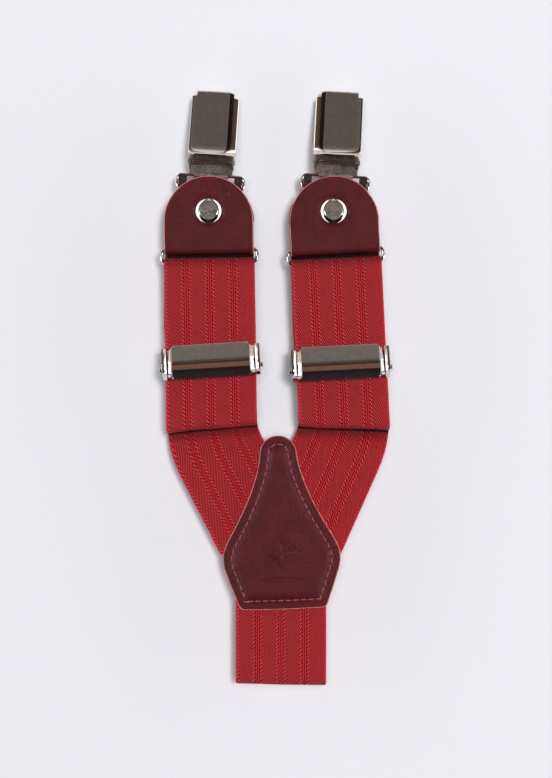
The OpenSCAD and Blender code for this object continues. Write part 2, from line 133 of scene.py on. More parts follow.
def smooth(x, low=0.0, high=1.0):
    """0 before low, 1 after high, and a smooth step between."""
    t = min(1.0, max(0.0, (x - low) / (high - low)))
    return t * t * (3 - 2 * t)


def mix(a, b, t):
    return a + (b - a) * t


def ripple(x, y, seed):
    """Smooth noise from -1 to 1, the same each run."""
    return noise.noise(Vector((x, y, 7.3 * seed)))


def make_object(name, mesh, *materials):
    obj = bpy.data.objects.new(name, mesh)
    bpy.context.scene.collection.objects.link(obj)
    for m in materials:
        mesh.materials.append(m)
    return obj


def from_bmesh(name, bm, *materials, sharp=None):
    """An object from a bmesh with outward faces, smooth but for edges sharper than the given degrees."""
    bmesh.ops.recalc_face_normals(bm, faces=bm.faces)
    mesh = bpy.data.meshes.new(name)
    bm.to_mesh(mesh)
    bm.free()
    obj = make_object(name, mesh, *materials)
    shade(mesh, sharp)
    return obj


def shade(mesh, sharp):
    mesh.polygons.foreach_set("use_smooth", [True] * len(mesh.polygons))
    if sharp is not None:
        mesh.set_sharp_from_angle(angle=math.radians(sharp))


def settle(obj):
    """Applies an object's modifiers to its mesh."""
    evaluated = obj.evaluated_get(bpy.context.evaluated_depsgraph_get())
    mesh = bpy.data.meshes.new_from_object(evaluated)
    obj.modifiers.clear()
    obj.data = mesh


def around(sides):
    return [k * math.tau / sides for k in range(sides)]


def bridge(bm, lower, upper):
    """Quads between two rings of vertices."""
    corners = zip(lower, lower[1:] + lower[:1], upper[1:] + upper[:1], upper)
    return [bm.faces.new(quad) for quad in corners]


def loft(bm, loops, closed=False):
    """A skin over loops of points, capped at both ends unless it closes on itself."""
    rings = [[bm.verts.new(p) for p in loop] for loop in loops]
    if closed:
        rings.append(rings[0])
    else:
        bm.faces.new(rings[0])
        bm.faces.new(rings[-1])
    for lower, upper in zip(rings, rings[1:]):
        bridge(bm, lower, upper)


# ---------------------------------------------------------------- materials


class Field:
    """A value in a material's node tree, with arithmetic that adds Math nodes."""

    def __init__(self, graph, socket):
        self.graph, self.socket = graph, socket

    def math(self, operation, *others):
        return self.graph.math(operation, self, *others)

    def __add__(self, other):
        return self.math("ADD", other)

    def __sub__(self, other):
        return self.math("SUBTRACT", other)

    def __rsub__(self, other):
        return self.graph.math("SUBTRACT", other, self)

    def __mul__(self, other):
        return self.math("MULTIPLY", other)

    def __truediv__(self, other):
        return self.math("DIVIDE", other)

    __radd__ = __add__
    __rmul__ = __mul__

    def abs(self):
        return self.math("ABSOLUTE")

    def lowest(self, other):
        return self.math("MINIMUM", other)

    def highest(self, other):
        return self.math("MAXIMUM", other)

    def wave(self):
        """0 to 1 and back for each whole step of the value."""
        return (self * math.tau).math("SINE") * 0.5 + 0.5

    def step(self, low, high):
        """Smooth step from 0 at low to 1 at high."""
        node = self.graph.add("ShaderNodeMapRange", interpolation_type="SMOOTHSTEP")
        self.graph.fill(node, Value=self, From_Min=low, From_Max=high, To_Min=0, To_Max=1)
        return Field(self.graph, node.outputs["Result"])


class Graph:
    """The node tree of a material or a world."""

    def __init__(self, tree):
        self.tree, self.nodes = tree, tree.nodes

    def add(self, kind, **properties):
        node = self.nodes.new(kind)
        for name, value in properties.items():
            setattr(node, name, value)
        return node

    def link(self, value, socket):
        if isinstance(value, Field):
            self.tree.links.new(value.socket, socket)
        else:
            socket.default_value = value

    def fill(self, node, **inputs):
        """Links or sets a node's inputs by name, with _ for a space."""
        for name, value in inputs.items():
            self.link(value, node.inputs[name.replace("_", " ")])

    def math(self, operation, *values):
        node = self.add("ShaderNodeMath", operation=operation)
        for value, socket in zip(values, node.inputs):
            self.link(value, socket)
        return Field(self, node.outputs[0])

    def split(self, vector):
        """The three parts of a vector output."""
        node = self.add("ShaderNodeSeparateXYZ")
        self.tree.links.new(vector, node.inputs[0])
        return [Field(self, part) for part in node.outputs]

    def colours(self, value, *stops):
        """A colour for each value: stops are (value, (red, green, blue))."""
        ramp = self.add("ShaderNodeValToRGB")
        elements = ramp.color_ramp.elements
        while len(elements) < len(stops):
            elements.new(0.5)
        for element, (position, colour) in zip(elements, stops):
            element.position = position
            element.color = (*colour, 1)
        self.link(value, ramp.inputs[0])
        return Field(self, ramp.outputs["Color"])

    def blend(self, share, a, b, kind="MIX"):
        node = self.add("ShaderNodeMix", data_type="RGBA", blend_type=kind)
        self.link(share, node.inputs[0])
        for value, socket in ((a, node.inputs[6]), (b, node.inputs[7])):
            self.link(value if isinstance(value, Field) else (*value, 1), socket)
        return Field(self, node.outputs[2])


class Material(Graph):
    """A material with a Principled shader, whose sockets are set by name."""

    def __init__(self, name, **settings):
        self.material = bpy.data.materials.new(name)
        self.material.use_nodes = True
        super().__init__(self.material.node_tree)
        self.set(**settings)

    def set(self, **sockets):
        self.fill(self.nodes["Principled BSDF"], **sockets)

    def uv(self, name):
        """The two coordinates of a UV map, in millimetres."""
        return [part / MM for part in self.split(self.add("ShaderNodeUVMap", uv_map=name).outputs[0])[:2]]

    def place(self, stretch=(1, 1, 1)):
        """The object's own coordinates in metres, stretched."""
        node = self.add("ShaderNodeMapping")
        own = self.add("ShaderNodeTexCoord").outputs["Object"]
        self.fill(node, Scale=stretch, Vector=Field(self, own))
        return Field(self, node.outputs[0])

    def noise(self, scale, detail=2.0, roughness=0.5, stretch=(1, 1, 1)):
        """Noise with features about 1 / scale metres across."""
        node = self.add("ShaderNodeTexNoise")
        self.fill(node, Scale=scale, Detail=detail, Roughness=roughness, Vector=self.place(stretch))
        return Field(self, node.outputs["Fac"])

    def cells(self, scale, feature="F1"):
        node = self.add("ShaderNodeTexVoronoi", feature=feature)
        self.fill(node, Scale=scale, Vector=self.place())
        return Field(self, node.outputs["Distance"])

    def tint(self, value, dark, light):
        """Colours the surface from dark to light over the middle of a noise's range."""
        self.set(Base_Color=self.colours(value, (0.3, dark), (0.7, light)))

    def bump(self, height, distance, strength=1.0):
        """Shapes the shading by a height from 0 to 1 that stands for the given metres."""
        node = self.add("ShaderNodeBump")
        self.fill(node, Strength=strength, Distance=distance, Height=height)
        self.set(Normal=Field(self, node.outputs[0]))


# The webbing's red; the three after it are painted shade, a painted highlight and deep painted shade for its
# threads
RED = (0.43, 0.011, 0.019)
RED_PAINTED_SHADE = (0.2, 0.003, 0.007)
RED_PAINTED_HIGHLIGHT = (0.95, 0.07, 0.088)
RED_PAINTED_DEEP_SHADE = (0.03, 0.0, 0.002)


def webbing_material():
    """Elastic webbing: panels of twill between narrow smooth ribs, with a reversed twill along each rib. Its
    colour has painted shade and a painted highlight by thread height, and painted shade where it runs under a
    fold or a tab.
    """
    g = Material("webbing", Roughness=0.62, Specular_IOR_Level=0.16, Sheen_Weight=0.05, Sheen_Roughness=0.4)
    u, v = g.uv("weave")
    u = u + (g.noise(900, 1.0) - 0.5) * 0.16
    stripe = (u / STRIPE_GAP).math("ROUND").lowest(1.0).highest(-1.0)
    near = (u - stripe * STRIPE_GAP).abs()
    edge = WEB_W / 2 - u.abs()

    # Where each weave lies
    in_rib = 1.0 - near.step(0.85, 1.0)
    beside_rib = near.step(0.85, 1.0) * (1.0 - near.step(1.7, 1.95))
    in_band = beside_rib.highest(edge.step(0.55, 0.7) * (1.0 - edge.step(1.3, 1.55)))
    at_border = u.step(13.4, 14.2) * edge.step(0.6, 0.9)
    selvedge = 1.0 - edge.step(0.55, 0.75)

    # How high each weave's threads stand
    twill = ((u * 1.75 - v) / 1.25).wave().step(0.2, 0.75)
    floats = ((u * 2.2 + v) / 1.1).wave().step(0.35, 0.85) * 0.62
    beads = ((u * 1.3 + v) / 1.48).wave().step(0.3, 0.65)
    crossed = ((u * 1.9 + v) / 1.1).wave().step(0.3, 0.7) * 0.48 + twill * 0.48
    cord_line = (1.0 - (near - 0.42).abs().step(0.12, 0.4)) * 0.62
    height = mix((twill * 0.98 + 0.16) * (1.0 - floats), beads * 0.9 + 0.02, in_band)
    height = mix(height, crossed, at_border)
    height = mix(height, cord_line + (v / 0.74).wave() * 0.1, in_rib)
    height = mix(height, (v / 0.6).wave() * 0.15 + 0.6, selvedge)
    height = height + (g.noise(2600, 1.0) - 0.5) * 0.3

    # Painted shade and highlight: the red goes darker where the threads lie low and lighter where they stand
    # high
    red = g.colours(height, (0.0, RED_PAINTED_DEEP_SHADE), (0.3, RED_PAINTED_SHADE), (0.6, RED), (1.0, RED_PAINTED_HIGHLIGHT))
    red = g.blend(g.noise(90, 2.0) * 0.3, red, (0.38, 0.012, 0.02))
    # Painted shade: near black under whatever crosses over the webbing and for about a millimetre past its
    # edge, with a softer painted shadow out to about five millimetres
    gap, _ = g.uv("cover")
    painted_crevice_shade = (1.0 - gap.step(0.6, 1.35)) * 0.97
    painted_soft_shadow = (1.0 - gap.step(0.8, 5.5)) * 0.55
    g.set(Base_Color=g.blend(painted_crevice_shade.highest(painted_soft_shadow), red, (0.008, 0.0, 0.0)))
    g.bump(height, 0.0003)
    return g.material


def leather_material():
    """Smooth grain leather with a waxed finish."""
    g = Material("leather", Specular_IOR_Level=0.28, Coat_Weight=0.03, Coat_Roughness=0.25)
    pores = g.cells(1500).step(0.05, 0.5)
    creases = g.cells(620, "DISTANCE_TO_EDGE").step(0.0, 0.12)
    grain = pores * 0.55 + creases * 0.3 + g.noise(4200, 2.0) * 0.3
    mottle = g.noise(130, 3.0) * 0.6 + g.noise(30, 2.0) * 0.4
    burgundy = g.colours(mottle, (0.3, (0.022, 0.0013, 0.0022)), (0.7, (0.078, 0.0058, 0.0085)))
    g.set(Base_Color=g.blend(grain * 0.5, burgundy, (0.1, 0.01, 0.014)), Roughness=grain * 0.2 + 0.2)
    g.bump(grain, 0.00014, 0.9)
    return g.material


def raw_edge_material():
    """The cut edge of the leather, where pale pink fibres show."""
    g = Material("leather_edge", Roughness=0.85, Specular_IOR_Level=0.2)
    fibre = g.noise(1800, 4.0, 0.7)
    mottle = fibre * 0.6 + g.noise(350, 2.0) * 0.4
    pink = g.colours(mottle, (0.3, (0.3, 0.06, 0.06)), (0.5, (0.6, 0.2, 0.18)), (0.7, (0.85, 0.42, 0.38)))
    g.set(Base_Color=pink)
    g.bump(fibre, 0.00015)
    return g.material


def suede_material():
    """The flesh side of the leather."""
    g = Material("leather_flesh", Roughness=0.9, Specular_IOR_Level=0.15, Sheen_Weight=0.25)
    g.set(Sheen_Roughness=0.5)
    nap = g.noise(2400, 4.0, 0.7)
    g.tint(nap, (0.09, 0.015, 0.02), (0.17, 0.035, 0.04))
    g.bump(nap, 0.0001)
    return g.material


def nickel_material():
    """Polished nickel plate with faint handling marks."""
    g = Material("nickel", Metallic=1.0)
    marks = g.noise(500, 3.0, 0.6)
    g.tint(marks, (0.66, 0.635, 0.6), (0.76, 0.74, 0.71))
    g.set(Roughness=marks * 0.08 + g.noise(6000, 2.0, 0.6, (1, 0.08, 1)) * 0.05 + 0.03)
    return g.material


def satin_material():
    """Tumbled nickel on the stamped inner parts, mottled and a little rough."""
    g = Material("satin_nickel", Metallic=0.75)
    mottle = g.noise(1500, 4.0, 0.65)
    patches = mottle * 0.7 + g.noise(260, 2.0) * 0.3
    greys = (0.32, (0.1, 0.085, 0.07)), (0.5, (0.3, 0.275, 0.245)), (0.68, (0.58, 0.55, 0.5))
    g.set(Base_Color=g.colours(patches, *greys), Roughness=mottle * 0.4 + 0.15)
    g.bump(mottle, 0.0001, 0.7)
    return g.material


def steel_material():
    """Blued spring steel."""
    g = Material("spring_steel", Metallic=1.0)
    marks = g.noise(900, 3.0, 0.6, (1, 0.2, 1))
    g.tint(marks, (0.16, 0.16, 0.17), (0.3, 0.3, 0.31))
    g.set(Roughness=marks * 0.2 + 0.2)
    return g.material


def thread_material():
    """Waxed sewing thread in a dusky pink."""
    g = Material("thread", Roughness=0.5, Specular_IOR_Level=0.4, Sheen_Weight=0.2, Sheen_Roughness=0.4)
    strands = g.noise(5200)
    g.tint(strands, (0.22, 0.025, 0.05), (0.55, 0.1, 0.17))
    g.bump(strands, 0.00008)
    return g.material


def pad_material():
    """Moulded black plastic."""
    g = Material("pad_plastic", Roughness=0.55, Specular_IOR_Level=0.45)
    pitted = g.noise(3000, 3.0, 0.6)
    g.tint(pitted, (0.012, 0.012, 0.014), (0.028, 0.028, 0.032))
    g.bump(pitted, 0.00004)
    return g.material


WEBBING = webbing_material()
LEATHER = leather_material()
RAW_EDGE = raw_edge_material()
SUEDE = suede_material()
NICKEL = nickel_material()
SATIN = satin_material()
STEEL = steel_material()
THREAD = thread_material()
PAD = pad_material()
HIDE = [LEATHER, RAW_EDGE, SUEDE]
LEATHER_SHARP = 60  # degrees between faces from which an edge looks sharp


# ---------------------------------------------------------------- webbing


def web_height(u):
    """Height of the webbing's face over its middle: cords stand proud in a rib, with a gutter on each side."""
    off = abs(u - STRIPE_GAP * max(-1, min(1, round(u / STRIPE_GAP))))
    height = WEB_T / 2 - 0.03
    height += 0.07 * (1 - smooth(abs(off - 0.42), 0.05, 0.4))
    height -= 0.12 * (1 - smooth(abs(off - 1.05), 0.0, 0.3))
    edge = WEB_W / 2 - abs(u)
    return height * math.sqrt(max(0.0, 1 - (1 - min(edge, 0.8) / 0.8) ** 2))


def web_section():
    """Points (u, height) round the cross-section: left edge, face, right edge and back."""
    offs = (-1.5, -1.25, -1.05, -0.85, -0.42, 0, 0.42, 0.85, 1.05, 1.25, 1.5)
    face = {k * STRIPE_GAP + off for k in (-1, 0, 1) for off in offs}
    face |= {-13.2, -4.5, 4.5, 13.2}
    face |= {side * (WEB_W / 2 - e) for side in (-1, 1) for e in (0.06, 0.2, 0.45, 0.8, 1.8)}
    face = [(u, web_height(u)) for u in sorted(face)]
    return [(-WEB_W / 2, 0.0), *face, (WEB_W / 2, 0.0), *[(u, -h) for u, h in reversed(face)]]


class Trail:
    """A path in a strap's side view, (v, w), of short steps along lines and round turns."""

    def __init__(self, v, w):
        self.points = [(v, w)]

    def to(self, v, w, step=3.0):
        start = self.points[-1]
        count = max(1, round(math.dist(start, (v, w)) / step))
        for k in range(1, count + 1):
            self.points.append((mix(start[0], v, k / count), mix(start[1], w, k / count)))
        return self

    def turn(self, v, w, degrees, step=15.0):
        """Round the centre (v, w); positive degrees go from v toward w."""
        v0, w0 = self.points[-1][0] - v, self.points[-1][1] - w
        count = round(abs(degrees) / step)
        for k in range(1, count + 1):
            a = math.radians(degrees) * k / count
            cos, sin = math.cos(a), math.sin(a)
            self.points.append((v + v0 * cos - w0 * sin, w + v0 * sin + w0 * cos))
        return self

    def stations(self, local):
        return [(local.at(0, v, w), local.u) for v, w in self.points]


def web_strip(stations, warp=None, section=None):
    """A strip along stations (centre, across), and its length. warp(point, u, s) moves a point that is s
    millimetres along; section is a cross-section other than the webbing's."""
    section = section or web_section()
    count, half = len(stations), len(section) // 2
    centres = [c for c, _ in stations]
    bm = bmesh.new()
    layer = bm.loops.layers.uv.new("weave")
    rings, weave, travelled = [], {}, 0.0
    for i, (centre, across) in enumerate(stations):
        ahead = centres[min(i + 1, count - 1)] - centres[max(i - 1, 0)]
        normal = across.cross(ahead).normalized()
        travelled += (centre - centres[max(i - 1, 0)]).length / MM
        rings.append([])
        for u, h in section:
            point = centre + (across * u + normal * h) * MM
            vert = bm.verts.new(warp(point, u, travelled) if warp else point)
            weave[vert] = (u * MM, travelled * MM)
            rings[-1].append(vert)
    for lower, upper in zip(rings, rings[1:]):
        bridge(bm, lower, upper)
    for end in (rings[0], rings[-1]):
        bm.faces.new((end[0], end[1], end[-1]))
        bm.faces.new(end[half - 1:half + 2])
        for k in range(1, half - 1):
            bm.faces.new((end[k], end[k + 1], end[-k - 1], end[-k]))
    for face in bm.faces:
        for loop in face.loops:
            loop[layer].uv = weave[loop.vert]
    return bm, travelled * MM


def cut(bm, point, normal):
    """Cuts away what lies beyond a plane and closes the cut."""
    everything = bm.verts[:] + bm.edges[:] + bm.faces[:]
    bmesh.ops.bisect_plane(bm, geom=everything, plane_co=point, plane_no=normal, clear_outer=True)
    bmesh.ops.holes_fill(bm, edges=[e for e in bm.edges if e.is_boundary], sides=0)


def finish_webbing(name, bm, body, nodes, cover=lambda point: 100.0):
    """cover(point) is how far, in millimetres, a point lies clear of whatever crosses over the webbing; the
    webbing material paints shade by it.
    """
    obj = from_bmesh(name, bm, WEBBING, sharp=50)
    layer = obj.data.uv_layers.new(name="cover")
    for loop in obj.data.loops:
        layer.data[loop.index].uv = (cover(obj.data.vertices[loop.vertex_index].co) * MM, 0.0)
    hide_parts(*nodes)
    if body:
        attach(obj, body)
    return obj


TURN_AT = {"left": Vector((-24.64, -19.5, 0)) + SHIFT, "right": Vector((26.7, -17.3, 0)) + SHIFT}
TURN_TO = {"left": math.radians(27.2), "right": math.radians(-24.1)}
DIAGONAL_L = 50
STRAPS_MEET = 1.3
STRAPS_END = -64.8
FOLD_SLANT = {"left": math.tan(math.radians(4.4)), "right": math.tan(math.radians(-5.4))}
FRONT_W = 1.5  # the visible front strap's middle, above the ring's bar
BAR_V, BAR_W, BAR_TURN, SEWN_END = 6.1, -6.1, 1.1, 16.9  # the turn round the adjuster's bar, in its frame
BACK_X = 1.9  # the back strap's middle line
BACK_START, BACK_BEND, BACK_FOLD = (-64.5, 10.67), (-84.6, 11.3), -112.2
TAB_SHADE_FROM = 2.75  # where the tab's fold starts to hide the front strap, for the strap's painted shade


def layer_w(side, k):
    """Height of the middle of folded layer k, from the ring's bar."""
    return k * LAYER_PITCH + WEB_T / 2 - RING[side].origin.z / MM


def patch_plane(y):
    """Height of the straps' middle between the patch's leathers, in millimetres, at y."""
    return PATCH_PIVOT.z + 1.25 + WEB_T / 2 - (y - PATCH_PIVOT.y) * math.tan(PATCH_SLOPE)


def diagonal_stations(side):
    """From inside the patch up to the folds, in plan, at the height of layer 4."""
    corner, turn = TURN_AT[side], TURN_TO[side]
    go = Vector((math.sin(turn), -math.cos(turn), 0))
    up = Vector((ALONG[side].x, ALONG[side].y, 0))
    leave, join = corner + go * 8, corner + up * 6
    plan = [corner + go * l for l in np.arange(DIAGONAL_L, 8, -1.4)]
    plan += [leave * (1 - t) ** 2 + corner * 2 * t * (1 - t) + join * t * t for t in np.linspace(0, 1, 13)]
    z = RING[side].origin.z / MM + layer_w(side, 4)
    stations = []
    for i, p in enumerate(plan):
        ahead = (plan[min(i + 1, len(plan) - 1)] - plan[max(i - 1, 0)]).normalized()
        stations.append((Vector((p.x, p.y, z)) * MM, Vector((ahead.y, -ahead.x, 0))))
    return stations


def fold_edge(side, at):
    """How far a point of the ring's frame lies below the edge of the last fold. The folded webbing's painted
    shade goes by it, so the hidden runs above that edge are painted dark all over.
    """
    return FOLD_LOW - (FRONT_W - layer_w(side, 5) + WEB_T) / 2 + FOLD_SLANT[side] * at.x - at.y


def make_folds(side):
    """The hidden runs folded up and down, and the diagonal that comes from them to the patch."""
    ring = RING[side]
    w = [layer_w(side, k) for k in range(6)]
    trail = Trail(FOLD_LOW - 0.6, w[4]).to(FOLD_HIGH, w[4]).turn(FOLD_HIGH, (w[4] + w[3]) / 2, -180)
    for v, k, after, degrees in (
        (FOLD_LOW, 3, 2, 180), (FOLD_HIGH, 2, 1, -180), (FOLD_LOW, 1, 0, 180), (FOLD_HIGH, 0, 5, 180)
    ):
        trail.to(v, w[k], 5).turn(v, (w[k] + w[after]) / 2, degrees)
    trail.to(FOLD_LOW + 1.8, w[5], 5)
    diagonal = diagonal_stations(side)
    corner, inner = TURN_AT[side], 1 if side == "left" else -1
    layer_z = ring.origin.z / MM + w[4]
    seed = SIDES.index(side)

    def warp(point, u, s):
        at = ring.inside(point)
        if s < DIAGONAL_L + 8 and at.y < FOLD_LOW - 1:
            y = point.y / MM
            rise = smooth(corner.y + 3.5 - y, 0, 11.5)
            height = point.z / MM - layer_z + mix(layer_z, patch_plane(y), rise)
            pleat = math.exp(-(((y - corner.y + 3) / 5) ** 2)) * smooth(inner * u, -6, 16)
            height += 0.3 * pleat * math.sin(s * 1.05 + u * 0.1)
            loose = smooth(corner.y - y, 2, 8) * (1 - smooth(corner.y - y, 18, 30))
            height += 0.16 * ripple(u / 9, s / 12, seed + 3) * loose
            return Vector((point.x, point.y, height * MM))
        drift = (0.15 * ripple(0.0, s / 60, seed) - 0.03 * u) * smooth(at.y, FOLD_LOW + 1, FOLD_LOW + 12)
        return point + ring.u * drift * MM

    bm, length = web_strip(diagonal + trail.stations(ring), warp)
    sign = -1 if side == "right" else 1
    cut(bm, (STRAPS_MEET * MM - sign * 0.00005, 0, 0), (sign, 0, 0))
    cut(bm, (0, STRAPS_END * MM, 0), (0, -1, 0))
    # Painted shade on the folded webbing by how far it lies below the last fold's edge
    finish_webbing(
        f"{side}_folded_webbing", bm, "straps",
        [f"{side}_strap_folds"], lambda point: fold_edge(side, ring.inside(point))
    )


def make_front(side):
    """The last fold, the visible front run and its turn round the ring."""
    ring = RING[side]
    low = layer_w(side, 5)
    radius = (FRONT_W - low) / 2
    trail = Trail(FOLD_LOW + 1.8, low).to(FOLD_LOW, low, 0.9).turn(FOLD_LOW, low + radius, -180, 10)
    trail.to(0, FRONT_W, 1.6).turn(0, 0, -180)
    arc_from, arc_to = 1.8, 1.8 + math.pi * radius
    end = arc_to - FOLD_LOW
    seed = SIDES.index(side)

    def warp(point, u, s):
        slant = smooth(s, 0, arc_from) * (1 - smooth(s, arc_to - 2, arc_to + 16))
        curl = 0.5 * ripple(u / 14, 0.3, seed + 9) * slant
        calm = smooth(s, arc_to - 3, arc_to + 4) * (1 - smooth(s, end - 8, end - 1))
        lift = 0.13 * ripple(u / 12, s / 17, seed + 1) * calm
        sway = 0.12 * ripple(0.0, s / 14, seed + 5) * calm
        return point + (ring.u * sway + ring.v * (FOLD_SLANT[side] * u + curl) * slant + ring.w * lift) * MM

    bm, length = web_strip(trail.stations(ring), warp)
    nodes = [f"{side}_strap_front", f"{side}_strap_loop"]
    # Painted shade on the front strap where it runs under the tab's fold
    obj = finish_webbing(
        f"{side}_front_webbing", bm, None, nodes,
        lambda point: TAB_SHADE_FROM - ring.inside(point).y
    )
    start, stop = ring.at(0, FOLD_LOW + 4, FRONT_W), ring.at(0, -1, FRONT_W)
    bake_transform(obj)


def make_return(side):
    """Under the front run: from the ring back to the adjuster's bar, round it and sewn to itself."""
    ring, adjuster = RING[side], ADJUSTER[side]
    over_bar = BAR_W + BAR_TURN
    sewn = Trail(SEWN_END, -5.85).to(11.9, -5.85).to(8.1, over_bar, 1.3).to(BAR_V, over_bar, 1.0)
    sewn = sewn.turn(BAR_V, BAR_W, 180).to(SEWN_END, BAR_W - BAR_TURN).stations(adjuster)
    top, first = ring.at(0, 0, -FRONT_W), sewn[0]
    steps = 14
    run = [(top.lerp(first[0], k / steps), ring.u.lerp(first[1], k / steps).normalized()) for k in range(steps)]
    bm, length = web_strip(run + sewn)
    obj = finish_webbing(
        f"{side}_return_webbing", bm, None, [f"{side}_strap_return"]
    )
    ring.at(0, -1, -FRONT_W)
    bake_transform(obj)


def make_back_strap():
    """From inside the patch down to the fold, up underneath, and down again round its ring."""
    level = Local(((BACK_X + SHIFT.x) * MM, SHIFT.y * MM, 0), (1, 0, 0), (0, 1, 0))
    trail = Trail(*BACK_START).to(*BACK_BEND).to(BACK_FOLD, 11.3, 1.6).turn(BACK_FOLD, 9.85, 180, 10)
    fold_from = math.dist(BACK_START, BACK_BEND) + BACK_BEND[0] - BACK_FOLD
    trail.to(BACK_BEND[0], 8.4).to(-31, 6.95, 4).turn(-31, 6.225, -180).to(-45, 5.5).turn(-45, 4, 180)
    trail.to(-38.5, 4.15, 1.3).to(-32, 4.15, 1.6)

    def warp(point, u, s):
        fold = smooth(s, fold_from - 14, fold_from) * (1 - smooth(s, fold_from + 5, fold_from + 22))
        calm = smooth(s, 20, 26) * (1 - smooth(s, fold_from + 3, fold_from + 5))
        lift = 0.12 * ripple(u / 12, s / 15, 12) * calm - 0.25 * fold * smooth(abs(u), 8, 17)
        return point + (level.v * (0.3 * ripple(u / 15, 0.5, 4) - 0.017 * u) * fold + level.w * lift) * MM

    bm, length = web_strip(trail.stations(level), warp)
    finish_webbing("back_webbing", bm, "straps", ["back_strap"])


for side in SIDES:
    make_folds(side)
    make_front(side)
    make_return(side)
make_back_strap()


# ---------------------------------------------------------------- leather


def finish_part(name, bm, materials, node, body, round_off=None, sharp=None):
    """Makes a rigid part of a mesh, with its edges rounded by round_off millimetres."""
    obj = from_bmesh(name, bm, *materials, sharp=sharp)
    if round_off:
        bevel = obj.modifiers.new("edges", "BEVEL")
        bevel.width, bevel.segments, bevel.harden_normals = round_off * MM, 3, True
        bevel.limit_method, bevel.angle_limit = "ANGLE", math.radians(28)
        settle(obj)
    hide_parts(node)
    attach(obj, body)


TAB = {e: joint_frame(f"{e}_tab_swing", ALONG[e]) for e in ENDS}
TONGUE = {e: joint_frame(f"{e}_clip_ring_swing", ALONG[e]) for e in ENDS}


def edge_distance(points, line):
    """Distance from each point to a closed line."""
    best = np.full(len(points), np.inf)
    for a, b in zip(line, np.roll(line, -1, 0)):
        ab = b - a
        t = np.clip(((points - a) @ ab) / (ab @ ab), 0, 1)
        best = np.minimum(best, np.linalg.norm(points - a - t[:, None] * ab, axis=1))
    return best


def within(points, line):
    x, y = points.T
    inside = np.zeros(len(points), bool)
    for (x0, y0), (x1, y1) in zip(line, np.roll(line, -1, 0)):
        if y0 != y1:
            inside ^= ((y0 > y) != (y1 > y)) & (x < (x1 - x0) * (y - y0) / (y1 - y0) + x0)
    return inside


def inset(line, distance):
    """An anticlockwise closed line moved inward."""
    along = np.roll(line, -1, 0) - np.roll(line, 1, 0)
    along /= np.linalg.norm(along, axis=1)[:, None]
    return line + distance * np.stack([-along[:, 1], along[:, 0]], 1)


def walk(line, count):
    """Evenly spaced points round a closed line, with the direction at each."""
    closed = np.vstack([line, line[:1]])
    steps = np.linalg.norm(np.diff(closed, axis=0), axis=1)
    along = np.concatenate([[0], np.cumsum(steps)])
    at = (np.arange(count) + 0.5) / count * along[-1]
    points = np.stack([np.interp(at, along, closed[:, i]) for i in (0, 1)], 1)
    ahead = np.stack([np.interp((at + 0.5) % along[-1], along, closed[:, i]) for i in (0, 1)], 1)
    way = ahead - points
    return points, way / np.linalg.norm(way, axis=1)[:, None]


RIM_DEPTH = 0.55
# The cut edge from the back to the face: (how far in from the outline, share of the thickness)
RIM = ((RIM_DEPTH, 0.0), (0.15, 0.0), (0.02, 0.12), (0.0, 0.3), (0.0, 0.55), (0.02, 0.78), (0.1, 0.92),
       (0.3, 0.985), (RIM_DEPTH, 1.0))
FACE_SLOT, EDGE_SLOT, BACK_SLOT = 0, 1, 2


def slab(line, thickness, place, height, fine, seed=1):
    """Leather cut to an anticlockwise outline. place(x, y, z) puts it, height(points) shapes its face, and
    fine(points) picks where its grid is fine."""
    core = inset(line, RIM_DEPTH)
    grids = []
    for step, wanted in ((1.3, False), (0.32, True)):
        xs, ys = np.meshgrid(*(np.arange(a, b, step) for a, b in zip(line.min(0), line.max(0))))
        grid = np.stack([xs.ravel(), ys.ravel()], 1)
        grid = grid[within(grid, core)]
        grid = grid[edge_distance(grid, core) > 0.3 * step + 0.1]
        grids.append(grid[fine(grid) == wanted])
    flat = np.vstack([core, *grids])
    ring = list(range(len(core)))
    made = geometry.delaunay_2d_cdt([Vector(p) for p in flat.tolist()], [], [ring], 1, 1e-5)
    points, triangles, origins = np.array([tuple(p) for p in made[0]]), made[2], made[3]
    place_of = {o: i for i, os in enumerate(origins) for o in os}

    bm = bmesh.new()
    top = [bm.verts.new(place(x, y, z)) for (x, y), z in zip(points, thickness + height(points))]
    bottom = [bm.verts.new(place(x, y, 0)) for x, y in points]
    for t in triangles:
        bm.faces.new([top[k] for k in t])
        bm.faces.new([bottom[k] for k in t[::-1]]).material_index = BACK_SLOT
    rings = [[bottom[place_of[k]] for k in ring]]
    for depth, share in RIM[1:-1]:
        ragged = [0.05 * ripple(x * 2.1, y * 2.1 + share * 3, seed) for x, y in line]
        moved = inset(line, depth)
        spots = moved + (inset(line, depth + 1) - moved) * np.array(ragged)[:, None]
        lift = share * (thickness + (height(spots) if share > 0.5 else np.zeros(len(spots))))
        rings.append([bm.verts.new(place(x, y, z)) for (x, y), z in zip(spots, lift)])
    rings.append([top[place_of[k]] for k in ring])
    slots = [BACK_SLOT] + [EDGE_SLOT] * 6 + [FACE_SLOT]
    for lower, upper, slot in zip(rings, rings[1:], slots):
        for face in bridge(bm, lower, upper):
            face.material_index = slot
    bmesh.ops.remove_doubles(bm, verts=bm.verts, dist=1e-7)
    return bm


def bezier(a, b, c, d, count):
    ts = np.linspace(0, 1, count, endpoint=False)[:, None]
    a, b, c, d = (np.array(p, float) for p in (a, b, c, d))
    return a * (1 - ts) ** 3 + 3 * b * ts * (1 - ts) ** 2 + 3 * c * ts**2 * (1 - ts) + d * ts**3


